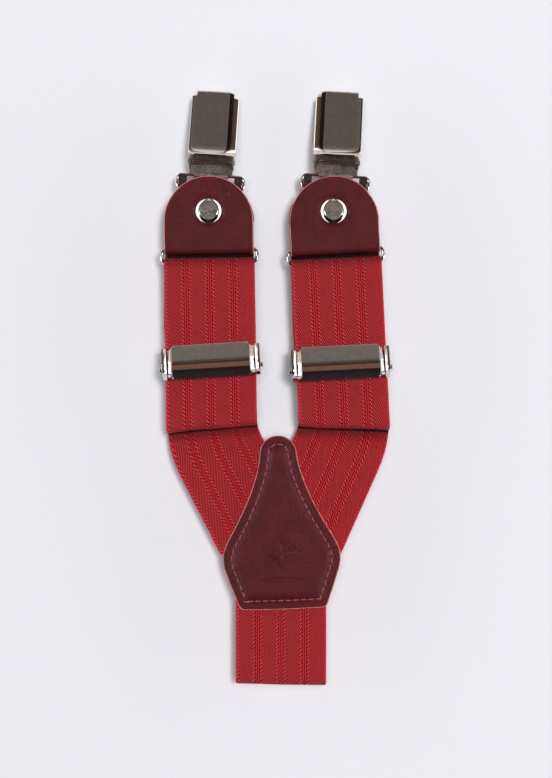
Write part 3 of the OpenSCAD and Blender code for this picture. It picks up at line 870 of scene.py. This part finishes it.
def patch_outline():
    """The patch's anticlockwise outline: narrow round top, wide low shoulders, short flat foot."""
    angles = np.radians(np.arange(90, 0, -7.5))
    half = np.vstack([
        np.stack([7.2 * np.cos(angles), 39.3 + 7.2 * np.sin(angles)], 1),
        bezier((7.2, 39), (8.3, 30), (13, 19.5), (18.5, 10), 32),
        bezier((18.5, 10), (21, 5.6), (22.7, 3), (22.7, -0.5), 14),
        bezier((22.7, -0.5), (22.7, -3.5), (21.9, -5.5), (21, -8), 10),
        bezier((21, -8), (19.6, -12), (18.3, -15.5), (17.3, -18.2), 14),
        bezier((17.3, -18.2), (16.8, -19.6), (16, -20.2), (14.5, -20.2), 6),
        bezier((14.5, -20.2), (9, -20.35), (4, -20.4), (0, -20.4), 16),
    ])
    other = half[1:] * (-1, 1)
    return np.vstack([half, [[0, -20.4]], other[::-1]])[::-1]


PATCH_LINE = patch_outline()
PATCH_TILT = Matrix.Translation(PATCH_PIVOT) @ Matrix.Rotation(-PATCH_SLOPE, 4, "X")
PATCH_TILT = PATCH_TILT @ Matrix.Translation((*PATCH_AT, 0)) @ Matrix.Rotation(PATCH_TURN, 4, "Z")
PATCH_T, PATCH_FACE_Z = 1.5, 2.6
STITCH_COUNT = 56


def on_patch(z0):
    return lambda x, y, z: (PATCH_TILT @ Vector((x, y, z0 + z))) * MM


def soft_line(distance, half_width, blur):
    """1 on a line, falling to 0 past its half width."""
    t = np.clip((distance - half_width + blur / 2) / blur, 0, 1)
    return 1 - t * t * (3 - 2 * t)


def ornament(points):
    """Depth, 0 to 1, of the pressed mark: a double lozenge over a small bar that tapers at both ends."""
    x, y = points.T
    y = y - 1.5
    spread = np.abs(x) / 6.4 + np.abs(y) / 6.4
    mark = soft_line(np.abs(spread - 1) * 4.6, 0.45, 0.35)
    mark = np.maximum(mark, soft_line(np.abs(spread - 0.68) * 4.6, 0.2, 0.3))
    petals = (np.abs(x) / 1.1) ** 0.7 + (np.abs(y) / 2.9) ** 0.7
    cross = (np.abs(x) / 2.9) ** 0.7 + (np.abs(y) / 1.1) ** 0.7
    mark = np.maximum(mark, soft_line(np.minimum(petals, cross), 1.0, 0.4))
    bar = np.abs(y + 10.6) - 0.85 * np.clip(1 - (np.abs(x) / 9.5) ** 2, 0, 1)
    mark = np.maximum(mark, soft_line(bar, 0.0, 0.4) * (np.abs(x) < 9.4))
    beads = np.hypot(np.abs(x) - 7.3, y)
    return np.maximum(mark, soft_line(beads, 0.45, 0.3))


def patch_height(points):
    depth = edge_distance(points, PATCH_LINE)
    height = -0.16 * np.exp(-(((depth - STITCH_INSET) / 0.75) ** 2))
    spots, ways = STITCHES
    for p, way in zip(spots, ways):
        for end in (-1, 1):
            height -= 0.22 * np.exp(-((np.hypot(*(points - p - way * 1.15 * end).T) / 0.42) ** 2))
    swell = np.array([ripple(a / 9, b / 9, 21) for a, b in points])
    height += 0.07 * swell * np.clip((depth - STITCH_INSET) / 2, 0, 1)
    height += 0.14 * np.clip(1 - np.abs(depth - 1.6) / 1.2, 0, 1)
    puff = np.clip((depth - STITCH_INSET) / 2.6, 0, 1)
    height += 0.45 * puff * puff * (3 - 2 * puff) - 0.26 * ornament(points)
    return height * np.clip(depth / 0.6, 0, 1)


def patch_fine(points):
    depth = edge_distance(points, PATCH_LINE)
    x, y = points.T
    return (np.abs(depth - STITCH_INSET) < 0.9) | ((np.abs(x) < 10) & (y > -11) & (y < 9))


STITCHES = walk(inset(PATCH_LINE, STITCH_INSET), STITCH_COUNT)

bm = slab(PATCH_LINE, PATCH_T, on_patch(PATCH_FACE_Z), patch_height, patch_fine)
finish_part("patch_face", bm, HIDE, "patch_front", "straps", sharp=LEATHER_SHARP)
bm = slab(PATCH_LINE, 1.2, on_patch(0), lambda p: np.zeros(len(p)), lambda p: np.zeros(len(p), bool), 2)
finish_part("patch_backing", bm, HIDE, "patch_back", "straps", sharp=LEATHER_SHARP)


# Stitches


THREAD_R = 0.21
# Along a stitch: (place, rise, share of its width)
STITCH_SHAPE = ((-1.0, -0.42, 0.35), (-0.93, -0.2, 0.75), (-0.75, 0.02, 0.95), (-0.4, 0.14, 1.0),
                (0.0, 0.17, 1.0), (0.4, 0.14, 1.0), (0.75, 0.02, 0.95), (0.93, -0.2, 0.75),
                (1.0, -0.42, 0.35))


def stitch(bm, middle, way, up, length):
    """One stitch lying on a surface, which dives in at both ends; middle is in metres."""
    across = way.cross(up)
    centres = [middle + (way * t * length / 2 + up * rise) * MM for t, rise, _ in STITCH_SHAPE]
    loops = []
    for i, (centre, (*_, share)) in enumerate(zip(centres, STITCH_SHAPE)):
        ahead = (centres[min(i + 1, len(centres) - 1)] - centres[max(i - 1, 0)]).normalized()
        lift = ahead.cross(across).normalized() * THREAD_R * share * MM
        side = lift.cross(ahead)
        loops.append([centre + side * math.cos(a) + lift * math.sin(a) * 0.8 for a in around(10)])
    loft(bm, loops)


turned = PATCH_TILT.to_3x3()
bm = bmesh.new()
for k, (p, way) in enumerate(zip(*STITCHES)):
    way = turned @ Matrix.Rotation(0.06 * ripple(k * 1.7, 0.2, 31), 3, "Z") @ Vector((*way, 0))
    middle = on_patch(PATCH_FACE_Z + PATCH_T)(*p, -0.17)
    stitch(bm, middle, way, turned @ Vector((0, 0, 1)), 2.3 + 0.15 * ripple(k, 3.3, 8))
finish_part("patch_stitches", bm, [THREAD], "patch_stitching", "straps")

ROW = [(k - 5) * 3.0 for k in range(11)]
ROW_STITCH = 2.1
for side in SIDES:
    bm = bmesh.new()
    a = ADJUSTER[side]
    for v in (12.9, 15.1):
        for u in ROW:
            stitch(bm, a.at(u, v, -6.5 + WEB_T), a.u, a.w, ROW_STITCH)
    finish_part(f"{side}_return_stitches", bm, [THREAD], f"{side}_return_stitching", f"{side}_adjuster")

bm = bmesh.new()
for y in (-36.5, -34):
    for x in ROW:
        middle = (SHIFT + Vector((BACK_X + x, y, 4.1 - WEB_T / 2))) * MM
        stitch(bm, middle, Vector((1, 0, 0)), Vector((0, 0, -1)), ROW_STITCH)
finish_part("back_strap_stitches", bm, [THREAD], "back_strap_stitching", "straps")


# Tabs

TAB_R = 17.2  # of its round end, half its width
TAB_T, TAB_BEND, TAB_ROUND_V, TAB_BACK_V, RIVET_V = 1.5, 0.75, 10.5, 17.8, 14.4
TAB_ARC = math.pi * (TAB_BEND + TAB_T / 2)


def tab_place(local):
    """x runs across, y up the flap from the fold; below 0 it goes round the fold and up the back."""
    def place(x, y, z):
        if y >= 0:
            rise = smooth(y, 11, 25.5) + 0.004 * y
            slope = (smooth(y + 0.1, 11, 25.5) - smooth(y - 0.1, 11, 25.5)) * 5
            lean = math.atan(slope)
            return local.at(x, y - z * math.sin(lean), TAB_BEND + rise + z * math.cos(lean))
        if y > -TAB_ARC:
            a = math.pi * -y / TAB_ARC
            return local.at(x, -(TAB_BEND + z) * math.sin(a), (TAB_BEND + z) * math.cos(a))
        return local.at(x, -y - TAB_ARC, -TAB_BEND - z)
    return place


def tab_outline(seed):
    steps = np.arange(TAB_BACK_V, TAB_ROUND_V, -0.8)
    back = [(math.sqrt((TAB_R + 0.3) ** 2 - (v - TAB_ROUND_V) ** 2), -TAB_ARC - v) for v in steps]
    right = back + [(TAB_R, y) for y in np.arange(-TAB_ARC - TAB_ROUND_V, TAB_ROUND_V, 0.8)]
    top = [(TAB_R * math.cos(a), TAB_ROUND_V + TAB_R * math.sin(a)) for a in np.linspace(0, math.pi, 64)]
    left = [(-x, y) for x, y in right[::-1]]
    foot = [(x, -TAB_ARC - TAB_BACK_V) for x in np.arange(-back[0][0] + 0.9, back[0][0] - 0.5, 0.9)]
    line = np.array(right + top[1:-1] + left + foot)
    wander = [0.12 * ripple(x / 7, y / 7, seed) for x, y in line]
    return line + (inset(line, 1.0) - line) * np.array(wander)[:, None]


def tab_height(line, seed):
    def height(points):
        x, y = points.T
        r = np.hypot(x, y - RIVET_V)
        depth = edge_distance(points, line)
        found = -0.3 * np.exp(-(((r - 5.0) / 0.9) ** 2)) + 0.08 * np.exp(-(((r - 7.4) / 1.4) ** 2))
        swell = np.array([ripple(a / 8, b / 8, seed) for a, b in points])
        return (found + 0.06 * swell) * np.clip(depth / 1.2, 0, 1)
    return height


def tab_fine(points):
    x, y = points.T
    r = np.hypot(x, y - RIVET_V)
    return ((y < 0.4) & (y > -TAB_ARC - 0.4)) | ((r > 3.6) & (r < 8.4))


TONGUE_HALF, TONGUE_T = 12.1, 1.1
TONGUE_AT = (-12.08, -11.9, -11.6, -6, 0, 6, 11.6, 11.9, 12.08)
TONGUE_SECTION = [(-TONGUE_HALF, 0.0)]
TONGUE_SECTION += [(x, TONGUE_T / 2 * (1 - max(0, abs(x) - 11.7) * 0.5)) for x in TONGUE_AT]
TONGUE_SECTION += [(-x, -h) for x, h in TONGUE_SECTION]


for seed, end in enumerate(ENDS, 40):
    line = tab_outline(seed)
    bm = slab(line, TAB_T, tab_place(TAB[end]), tab_height(line, seed), tab_fine, seed)
    finish_part(f"{end}_tab_leather", bm, HIDE, f"{end}_tab", f"{end}_tab", sharp=LEATHER_SHARP)
    trail = Trail(-14, -0.05).to(-4.5, 0.15).to(-2, 0.75, 0.8).to(0.7, 1.22, 0.7)
    trail.turn(0.7, 0, -180).to(-4.6, -1.2, 0.9)
    bm, _ = web_strip(trail.stations(TONGUE[end]), section=TONGUE_SECTION)
    finish_part(f"{end}_tongue", bm, HIDE, f"{end}_tab", f"{end}_tab", sharp=LEATHER_SHARP)


# ---------------------------------------------------------------- metal and plastic


def tipped(local, degrees, origin=None):
    """A frame turned about its own u, so that v dips by the given degrees."""
    a = math.radians(degrees)
    return Local(origin or local.origin, local.u, local.v * math.cos(a) - local.w * math.sin(a))


RISE = {"left": 0, "right": 0, "back": -21}
DROOP = {"left": 17.5, "right": 17.5, "back": 0}
CLIP_RING = {e: tipped(TONGUE[e], -RISE[e]) for e in ENDS}
CLIP = {e: tipped(TONGUE[e], DROOP[e], Vector(JOINTS[f"{e}_clip_swing"]["pos_m"])) for e in ENDS}


def refined(node, material, body, round_off):
    """The CAD node's shape again, with rounded edges and smooth rounds."""
    bm = bmesh.new()
    bm.from_mesh(frame["nodes"][node].data)
    bmesh.ops.remove_doubles(bm, verts=bm.verts, dist=1e-6)
    bmesh.ops.dissolve_limit(bm, angle_limit=math.radians(0.5), verts=bm.verts, edges=bm.edges)
    finish_part(f"{node}_part", bm, [material], node, body, round_off)


def wire_ring(name, local, node, body, half, height, wire, corner):
    """A rectangular ring of round wire: its near bar on the local origin, its far bar height away."""
    centres = []
    for side, far, first in ((1, 0, -90), (1, 1, 0), (-1, 1, 90), (-1, 0, 180)):
        u, v = side * (half - corner), mix(corner, height - corner, far)
        for a in np.radians(np.linspace(first, first + 90, 9)):
            centres.append(local.at(u + corner * math.cos(a), v + corner * math.sin(a), 0))
    loops = []
    for i, centre in enumerate(centres):
        ahead = (centres[(i + 1) % len(centres)] - centres[i - 1]).normalized()
        out = ahead.cross(local.w).normalized() * wire / 2 * MM
        up = local.w * wire / 2 * MM
        loops.append([centre + out * math.cos(a) + up * math.sin(a) for a in around(20)])
    bm = bmesh.new()
    loft(bm, loops, closed=True)
    finish_part(name, bm, [NICKEL], node, body)


def turned_part(name, profile, local, w, materials, node, body, sides=64):
    """A lathe-turned part about the rivet's axis: profile is (radius, height, material number) end to end."""
    bm = bmesh.new()
    rings = []
    for radius, height, _ in profile:
        angles = around(sides) if radius else [0]
        spots = [(radius * math.cos(a), RIVET_V + radius * math.sin(a), w + height) for a in angles]
        rings.append([bm.verts.new(local.at(*spot)) for spot in spots])
    for lower, upper, (*_, slot) in zip(rings, rings[1:], profile[1:]):
        for k in range(sides):
            l = (k + 1) % sides
            corners = [loop[n % len(loop)] for loop, n in ((lower, k), (lower, l), (upper, l), (upper, k))]
            bm.faces.new(list(dict.fromkeys(corners))).material_index = slot
    finish_part(name, bm, materials, node, body, sharp=50)


def side_plate(bm, outline, u0, u1, local):
    """A flat plate across u0 to u1 with the given (v, w) outline."""
    loft(bm, [[local.at(u, v, w) for v, w in outline] for u in (u0, u1)])


def bar(bm, u0, u1, v0, v1, w0, w1, local):
    side_plate(bm, [(v0, w0), (v1, w0), (v1, w1), (v0, w1)], u0, u1, local)


def shell(bm, columns, rows, outer, inner, keep=lambda i, j: True):
    """A closed thin shell over a grid, between the surfaces outer(i, j) and inner(i, j)."""
    cells = {(i, j) for i in range(columns - 1) for j in range(rows - 1) if keep(i, j)}
    verts = {}

    def vert(side, i, j):
        if (side, i, j) not in verts:
            verts[side, i, j] = bm.verts.new((outer, inner)[side](i, j))
        return verts[side, i, j]

    for i, j in cells:
        corners = ((i, j), (i + 1, j), (i + 1, j + 1), (i, j + 1))
        bm.faces.new([vert(0, *c) for c in corners])
        bm.faces.new([vert(1, *c) for c in corners[::-1]])
        neighbours = ((i, j - 1), (i + 1, j), (i, j + 1), (i - 1, j))
        for k, n in enumerate(neighbours):
            if n not in cells:
                a, b = corners[k], corners[(k + 1) % 4]
                bm.faces.new((vert(0, *b), vert(0, *a), vert(1, *a), vert(1, *b)))


# Clips

# Half sections of the cover, (r, q): the side away from the middle of the braces, then the side toward it
COVER_SIDES = (
    ((0, 6.0), (1.6, 6.0), (3.2, 5.97), (4.8, 5.91), (6.2, 5.81), (7.2, 5.72), (8.0, 5.62), (8.6, 5.52),
     (8.95, 5.4), (9.12, 5.2), (9.19, 4.85), (9.22, 4.0), (9.26, 2.3)),
    ((0, 6.0), (1.6, 6.0), (3.2, 5.96), (4.6, 5.89), (5.3, 5.82), (5.6, 5.74), (6.3, 5.49), (6.9, 5.26),
     (7.2, 5.12), (7.8, 4.81), (8.4, 4.5), (8.85, 4.26), (9.08, 4.13), (9.16, 4.03), (9.2, 3.7), (9.26, 2.3)),
)
INNER_SIDE = {"left": 1, "right": -1, "back": 1}
COVER_T, COVER_FROM, COVER_TO = 0.6, 7.1, 31.0
LIP_FROM, LIP_END, LIP_FLARE = 10.0, 5.7, 0.06
JAW_FROM, JAW_R, JAW_END, JAW_LOW = 32.5, 1.2, 33.7, 1.3
CLIP_PIVOT = (4.9, 2.2)
NOTCH = 7.2  # half the width of the jaw, past the cover's cut corners


def cover_columns(end):
    """Across the cover: (r, q) on its face and the way out of it."""
    away, toward = COVER_SIDES
    line = sorted([(-r, q) for r, q in away[1:]] + list(toward))
    if INNER_SIDE[end] < 0:
        line = [(-r, q) for r, q in line[::-1]]
    out = []
    for i, (r, q) in enumerate(line):
        (r0, q0), (r1, q1) = line[max(i - 1, 0)], line[min(i + 1, len(line) - 1)]
        size = math.hypot(r1 - r0, q1 - q0)
        out.append((r, q, (q0 - q1) / size, (r1 - r0) / size))
    return out


def cover_rows():
    """Along the cover: (kind, amount); along p, then round the bend, then down the jaw."""
    lip = [COVER_FROM, 7.4, 7.75, 8.1, 8.5, 8.9, 9.4, LIP_FROM]
    along = [*range(11, 30, 3), 30.3, COVER_TO, 31.7, JAW_FROM]
    rows = [("p", p) for p in lip + along] + [("a", a) for a in range(15, 91, 15)]
    return rows + [("d", d) for d in (0.35, 0.7, 1.0)]


def make_clip_lever(end):
    local, columns, rows = CLIP[end], cover_columns(end), cover_rows()
    pivot_p, pivot_q = CLIP_PIVOT
    flare, lip_end = (0.0, COVER_FROM) if end == "back" else (LIP_FLARE, LIP_END)

    def point(column, row, depth):
        r, q, nr, nq = column
        kind, amount = row
        r, q = r - nr * depth, q - nq * depth
        p = min(amount, JAW_FROM) if kind == "p" else JAW_FROM
        if kind == "p":
            if p < LIP_FROM:
                low = lip_end + 0.5 * (r / 9.2) ** 2 + 0.8 * max(0.0, abs(r) - 7.6)
                p = mix(low, LIP_FROM, (p - COVER_FROM) / (LIP_FROM - COVER_FROM))
            lean = flare * max(0.0, LIP_FROM - p)
            q += lean * (LIP_FROM - p)
            p -= 2 * lean * depth
        else:
            a = math.radians(amount) if kind == "a" else math.pi / 2
            radius = JAW_R - depth
            top = q + depth
            p, q = JAW_FROM + radius * math.sin(a), top - JAW_R + radius * math.cos(a)
            if kind == "d":
                q = mix(q, JAW_LOW, amount)
        return local.at(r, p, q)

    def keep(i, j):
        inside = abs(columns[i][0]) <= NOTCH + 0.01 and abs(columns[i + 1][0]) <= NOTCH + 0.01
        return inside or rows[j + 1][0] == "p" and rows[j + 1][1] <= COVER_TO

    bm = bmesh.new()
    shell(bm, len(columns), len(rows), lambda i, j: point(columns[i], rows[j], 0),
          lambda i, j: point(columns[i], rows[j], COVER_T), keep)
    angles = np.radians(np.arange(100, 281, 15))
    leg = [(pivot_p + 1.5 * math.cos(a), pivot_q + 1.5 * math.sin(a)) for a in angles]
    leg += [(9.5, 1.6), (13, 3), (13, 4.6), (7.6, 4.9)]
    for u0, u1 in ((-7.8, -7.2), (7.2, 7.8)):
        side_plate(bm, leg, u0, u1, local)
    for tooth in np.arange(-6.2, 6.3, 3.1):
        bar(bm, tooth - 0.6, tooth + 0.6, JAW_END - COVER_T, JAW_END, 1.15, 1.5, local)
    finish_part(f"{end}_clip_cover", bm, [NICKEL], f"{end}_clip_lever", f"{end}_clip_lever", 0.14)


# Turned profiles: (radius, height, material number)
CAP = ((0, 0, 0), (4.8, 0.0, 0), (5.05, 0.08, 0), (5.1, 0.22, 0), (5.0, 0.36, 0), (4.6, 0.7, 0),
       (4.1, 1.1, 0), (3.75, 1.36, 0), (3.55, 1.46, 0), (3.4, 1.5, 1), (2.0, 1.49, 1), (0, 1.48, 1))
BACK_DISC = ((0, 0.5, 0), (4.2, 0.5, 0), (4.4, 0.36, 0), (4.4, 0.2, 0), (4.1, 0.03, 0), (3.6, 0, 0),
             (1.9, 0.02, 0), (1.5, 0.2, 0), (0, 0.22, 0))
CAP_W, BACK_DISC_W = 2.3, -2.75
STRAP_WIRE = {"half": 18.45, "height": 5.6, "wire": 1.4, "corner": 2.3}
CLIP_WIRE = {"half": 12.9, "height": 5.3, "wire": 1.2, "corner": 1.9}


def make_ring_dark_blocks(end):
    """Black blocks inside both sides of the clip's ring, which make its opening look black; the middle stays
    open for the clip's hook.
    """
    bm = bmesh.new()
    for u0, u1 in ((-12.4, -9.15), (9.15, 12.4)):
        bar(bm, u0, u1, 2.5, 4.8, -0.5, -0.1, CLIP_RING[end])
    finish_part(f"{end}_clip_ring_dark_block", bm, [PAD], f"{end}_clip_ring", f"{end}_clip_ring", 0.1)


for side in SIDES:
    make_ring_dark_blocks(side)
for end in ENDS:
    clip, tab = f"{end}_clip", f"{end}_tab"
    wire_ring(f"{end}_strap_wire_ring", RING[end], f"{end}_strap_ring", f"{end}_ring", **STRAP_WIRE)
    wire_ring(f"{end}_clip_wire_ring", CLIP_RING[end], f"{end}_clip_ring", f"{end}_clip_ring", **CLIP_WIRE)
    make_clip_lever(end)
    turned_part(f"{end}_rivet_head", CAP, TAB[end], CAP_W, [NICKEL, SATIN], f"{end}_rivet_cap", tab)
    turned_part(f"{end}_rivet_foot", BACK_DISC, TAB[end], BACK_DISC_W, [NICKEL], f"{end}_rivet_back", tab)
    refined(f"{end}_clip_base", SATIN, clip, 0.12)
    refined(f"{end}_clip_pin", NICKEL, clip, 0.15)
    refined(f"{end}_clip_spring", STEEL, clip, 0.06)
    refined(f"{end}_clip_pad", PAD, clip, 0.12)


# Adjusters

# The lever cover's outer face in side view, (v, w), from its free edge over the crest to the foot
LEVER_TOP = [(9.2, -1.85), (9.12, -1.65), (8.9, -1.5), (7.5, -0.69), (6.0, 0.17), (4.5, 1.04),
             (3.4, 1.67), (3.15, 1.8), (2.9, 1.89), (2.6, 1.98), (2.2, 2.085), (1.85, 2.17), (1.4, 2.27),
             (0.9, 2.36), (0.3, 2.44), (-0.2, 2.485), (-0.5, 2.49), (-1.0, 2.43), (-1.5, 2.26),
             (-2.1, 1.94), (-2.6, 1.58), (-2.85, 1.38), (-2.93, 1.2), (-2.94, 0.7), (-2.9, 0.0)]
APRON = [(-3.02, 1.24), (-3.84, 0.56), (-3.84, 0.25), (-3.06, 0.75)]
# The apron along the adjuster's foot, in the same view
APRON_LOW = -3.85
LEVER_T, LEVER_FREE, LEVER_FOOT = 0.8, 9.2, -2.94
LEVER_GAP, CHEEK_IN, BAR_HALF, EAR_BAR_HALF = 15.3, 15.7, 16.8, 17.2


def offset_line(line, depth):
    """An open line moved to its left-hand side."""
    moved = []
    for i, (x, y) in enumerate(line):
        (x0, y0), (x1, y1) = line[max(i - 1, 0)], line[min(i + 1, len(line) - 1)]
        size = math.hypot(x1 - x0, y1 - y0)
        moved.append((x - depth * (y1 - y0) / size, y + depth * (x1 - x0) / size))
    return moved


def sloped_plate(bm, top, foot, stops, s, local):
    """A plate on side s (-1 or 1) whose top slopes outward: stops are (u, drop of the top), inside out."""
    lowest = min(w for _, w in foot) + 0.05
    outlines = [(u, [(v, max(w - drop, lowest)) for v, w in top] + foot) for u, drop in stops]
    loft(bm, [[local.at(s * u, v, w) for v, w in outline] for u, outline in outlines])


def make_ears(side):
    """The frame's turned-over ears at the ends of the lever, and the apron along its foot."""
    bm = bmesh.new()
    local = ADJUSTER[side]
    top = [(8.1, -1.1), (7.4, -0.7), (4.5, 0.75), (2.4, 1.6), (1.2, 1.85), (-0.8, 1.85), (-1.6, 1.6),
           (-2.7, 0.6), (-3.6, -0.2), (APRON_LOW, -0.6)]
    slope = [(17.08, 0.0), (17.15, 0.05), (17.85, 0.61), (18.6, 1.2), (18.65, 1.4)]
    for s in (-1, 1):
        sloped_plate(bm, top, [(-3.0, -2.7), (8.1, -2.7)], slope, s, local)
    ends = [(-LEVER_GAP, 0.75), (-14.6, 0.0), (14.6, 0.0), (LEVER_GAP, 0.75)]
    loft(bm, [[local.at(u, max(v, APRON_LOW + cut_back), w) for v, w in APRON] for u, cut_back in ends])
    bar(bm, -EAR_BAR_HALF, EAR_BAR_HALF, -3.78, -3.5, -0.7, 0.3, local)
    finish_part(f"{side}_adjuster_ears", bm, [NICKEL], f"{side}_adjuster_frame", f"{side}_adjuster", 0.1)


def make_adjuster_lever(side):
    """The cover lever: a curved shell with cheeks, and inside it a toothed bar that bites the strap."""
    local = ADJUSTER[side]
    under = offset_line(LEVER_TOP, LEVER_T)
    half = [0, 4, 9, 13, 13.6, 14.1, 14.6, 15.0, 15.22, LEVER_GAP]
    stations = [-u for u in half[:0:-1]] + half

    def point(i, j, line, dip):
        u, (v, w) = stations[i], line[j]
        corner = max(0.0, abs(u) - 14.2)
        if j < 6:
            short = min(v, LEVER_FREE - corner * 0.9 - j * 0.02)
            v, w = short, w + (v - short) * 0.53
        if j > 19:
            v = max(v, corner * 0.2 + LEVER_FOOT + (24 - j) * 0.01)
        return local.at(u, v, w - dip * smooth(abs(u), LEVER_GAP - 0.3, LEVER_GAP))

    bm = bmesh.new()
    outer = lambda i, j: point(i, j, LEVER_TOP, 0.25)
    shell(bm, len(stations), len(under), outer, lambda i, j: point(i, j, under, 0))
    foot = [(-2.55, -1.1), (-1.4, -2.35), (1.2, -2.4), (5, -2.5), (7.6, -2.4)]
    slope = [(15.4, 0.0), (15.5, 0.08), (16.2, 0.64), (16.9, 1.2), (16.95, 1.5)]
    inner = [(v - math.copysign(0.35, v), w - 0.75) for v, w in LEVER_TOP[9:21]] + [(-1.8, -1.2), (2.4, -1.0)]
    for s in (-1, 1):
        sloped_plate(bm, LEVER_TOP[3:22], foot, slope, s, local)
        side_plate(bm, inner, s * (LEVER_GAP - 0.6), s * (CHEEK_IN + 0.1), local)
    bar(bm, -BAR_HALF, BAR_HALF, 1, 2.4, -2.3, -0.4, local)
    for u in np.arange(18) * 1.6 - 14.4:
        tooth = ((u, -2.25), (u + 1.6, -2.25), (u + 0.8, -2.85))
        loft(bm, [[local.at(u, v, w) for u, w in tooth] for v in (1, 2.4)])
    name = f"{side}_adjuster_lever"
    finish_part(f"{side}_adjuster_cover", bm, [NICKEL], name, name, 0.13)


for side in SIDES:
    make_adjuster_lever(side)
    make_ears(side)
    refined(f"{side}_adjuster_frame", NICKEL, f"{side}_adjuster", 0.15)
    refined(f"{side}_adjuster_pins", NICKEL, f"{side}_adjuster", 0.2)


# ---------------------------------------------------------------- floor and light


def make_floor():
    bm = bmesh.new()
    bmesh.ops.create_grid(bm, x_segments=8, y_segments=8, size=1.5)
    g = Material("paper", Roughness=0.95, Specular_IOR_Level=0.05, Base_Color=(0.79, 0.8, 0.85, 1))
    g.bump(g.noise(900, 2.0), 0.00002, 0.3)
    from_bmesh("floor", bm, g.material)


def make_light(name, place, size, watts, glossy=True, diffuse=True):
    data = bpy.data.lights.new(name, "AREA")
    data.shape, data.size, data.energy = "DISK", size, watts
    lamp = bpy.data.objects.new(name, data)
    lamp.location = place
    lamp.rotation_euler = (-Vector(place)).to_track_quat("-Z", "Y").to_euler()
    lamp.visible_glossy = glossy
    lamp.visible_diffuse = diffuse
    bpy.context.scene.collection.objects.link(lamp)


def make_world():
    """A dim studio of soft bands for metal to mirror, by how far north of straight up, and sideways."""
    world = bpy.data.worlds.new("studio")
    world.use_nodes = True
    g = Graph(world.node_tree)
    x, y, z = g.split(g.add("ShaderNodeTexCoord").outputs["Generated"])
    high = z.highest(0.0001)
    side = x.abs().math("ARCTAN2", high) * (180 / math.pi)
    north = y.math("ARCTAN2", high) * (180 / math.pi)
    ahead = g.colours(
        (north + 90) / 180.0,
        (0.0, (0.03, 0.03, 0.03)), (0.47, (0.014, 0.013, 0.013)), (0.515, (0.03, 0.02, 0.018)),
        (0.545, (0.2, 0.1, 0.07)), (0.63, (0.23, 0.115, 0.08)), (0.65, (0.035, 0.024, 0.018)),
        (0.665, (0.04, 0.026, 0.02)), (0.676, (0.14, 0.09, 0.068)), (0.69, (0.14, 0.09, 0.068)),
        (0.7, (0.05, 0.038, 0.03)), (0.71, (0.06, 0.045, 0.038)), (0.725, (0.13, 0.115, 0.104)),
        (0.77, (0.135, 0.118, 0.107)), (0.83, (0.2, 0.172, 0.155)), (0.865, (0.2, 0.18, 0.165)),
        (0.92, (0.7, 0.68, 0.66)), (1.0, (0.95, 0.93, 0.91)),
    )
    across = g.colours(
        side / 90.0,
        (0.0, (1, 1, 1)), (0.2, (1.0, 0.98, 0.96)), (0.37, (1.35, 1.3, 1.26)), (0.43, (0.08, 0.07, 0.07)),
        (0.62, (0.1, 0.08, 0.07)), (0.7, (0.6, 0.42, 0.3)), (0.79, (0.95, 0.68, 0.5)),
    )
    softbox = side.step(70, 74) * (1.0 - north.abs().step(80, 86))
    colour = g.blend(softbox, g.blend(1.0, ahead, across, "MULTIPLY"), (2.6, 2.6, 2.65))
    g.fill(g.nodes["Background"], Color=colour)
    bpy.context.scene.world = world


make_floor()
make_world()
make_light("key", (0.52, 0.28, 2.8), 0.55, 36, glossy=False)
make_light("fill", (0.12, 0.2, 3.0), 1.7, 46, glossy=False)
make_light("sheen_left", (-1.0, -0.06, 1.15), 0.5, 7, diffuse=False)
make_light("sheen_right", (1.0, -0.1, 1.25), 0.5, 7, diffuse=False)
bpy.context.scene.view_settings.view_transform = "Standard"
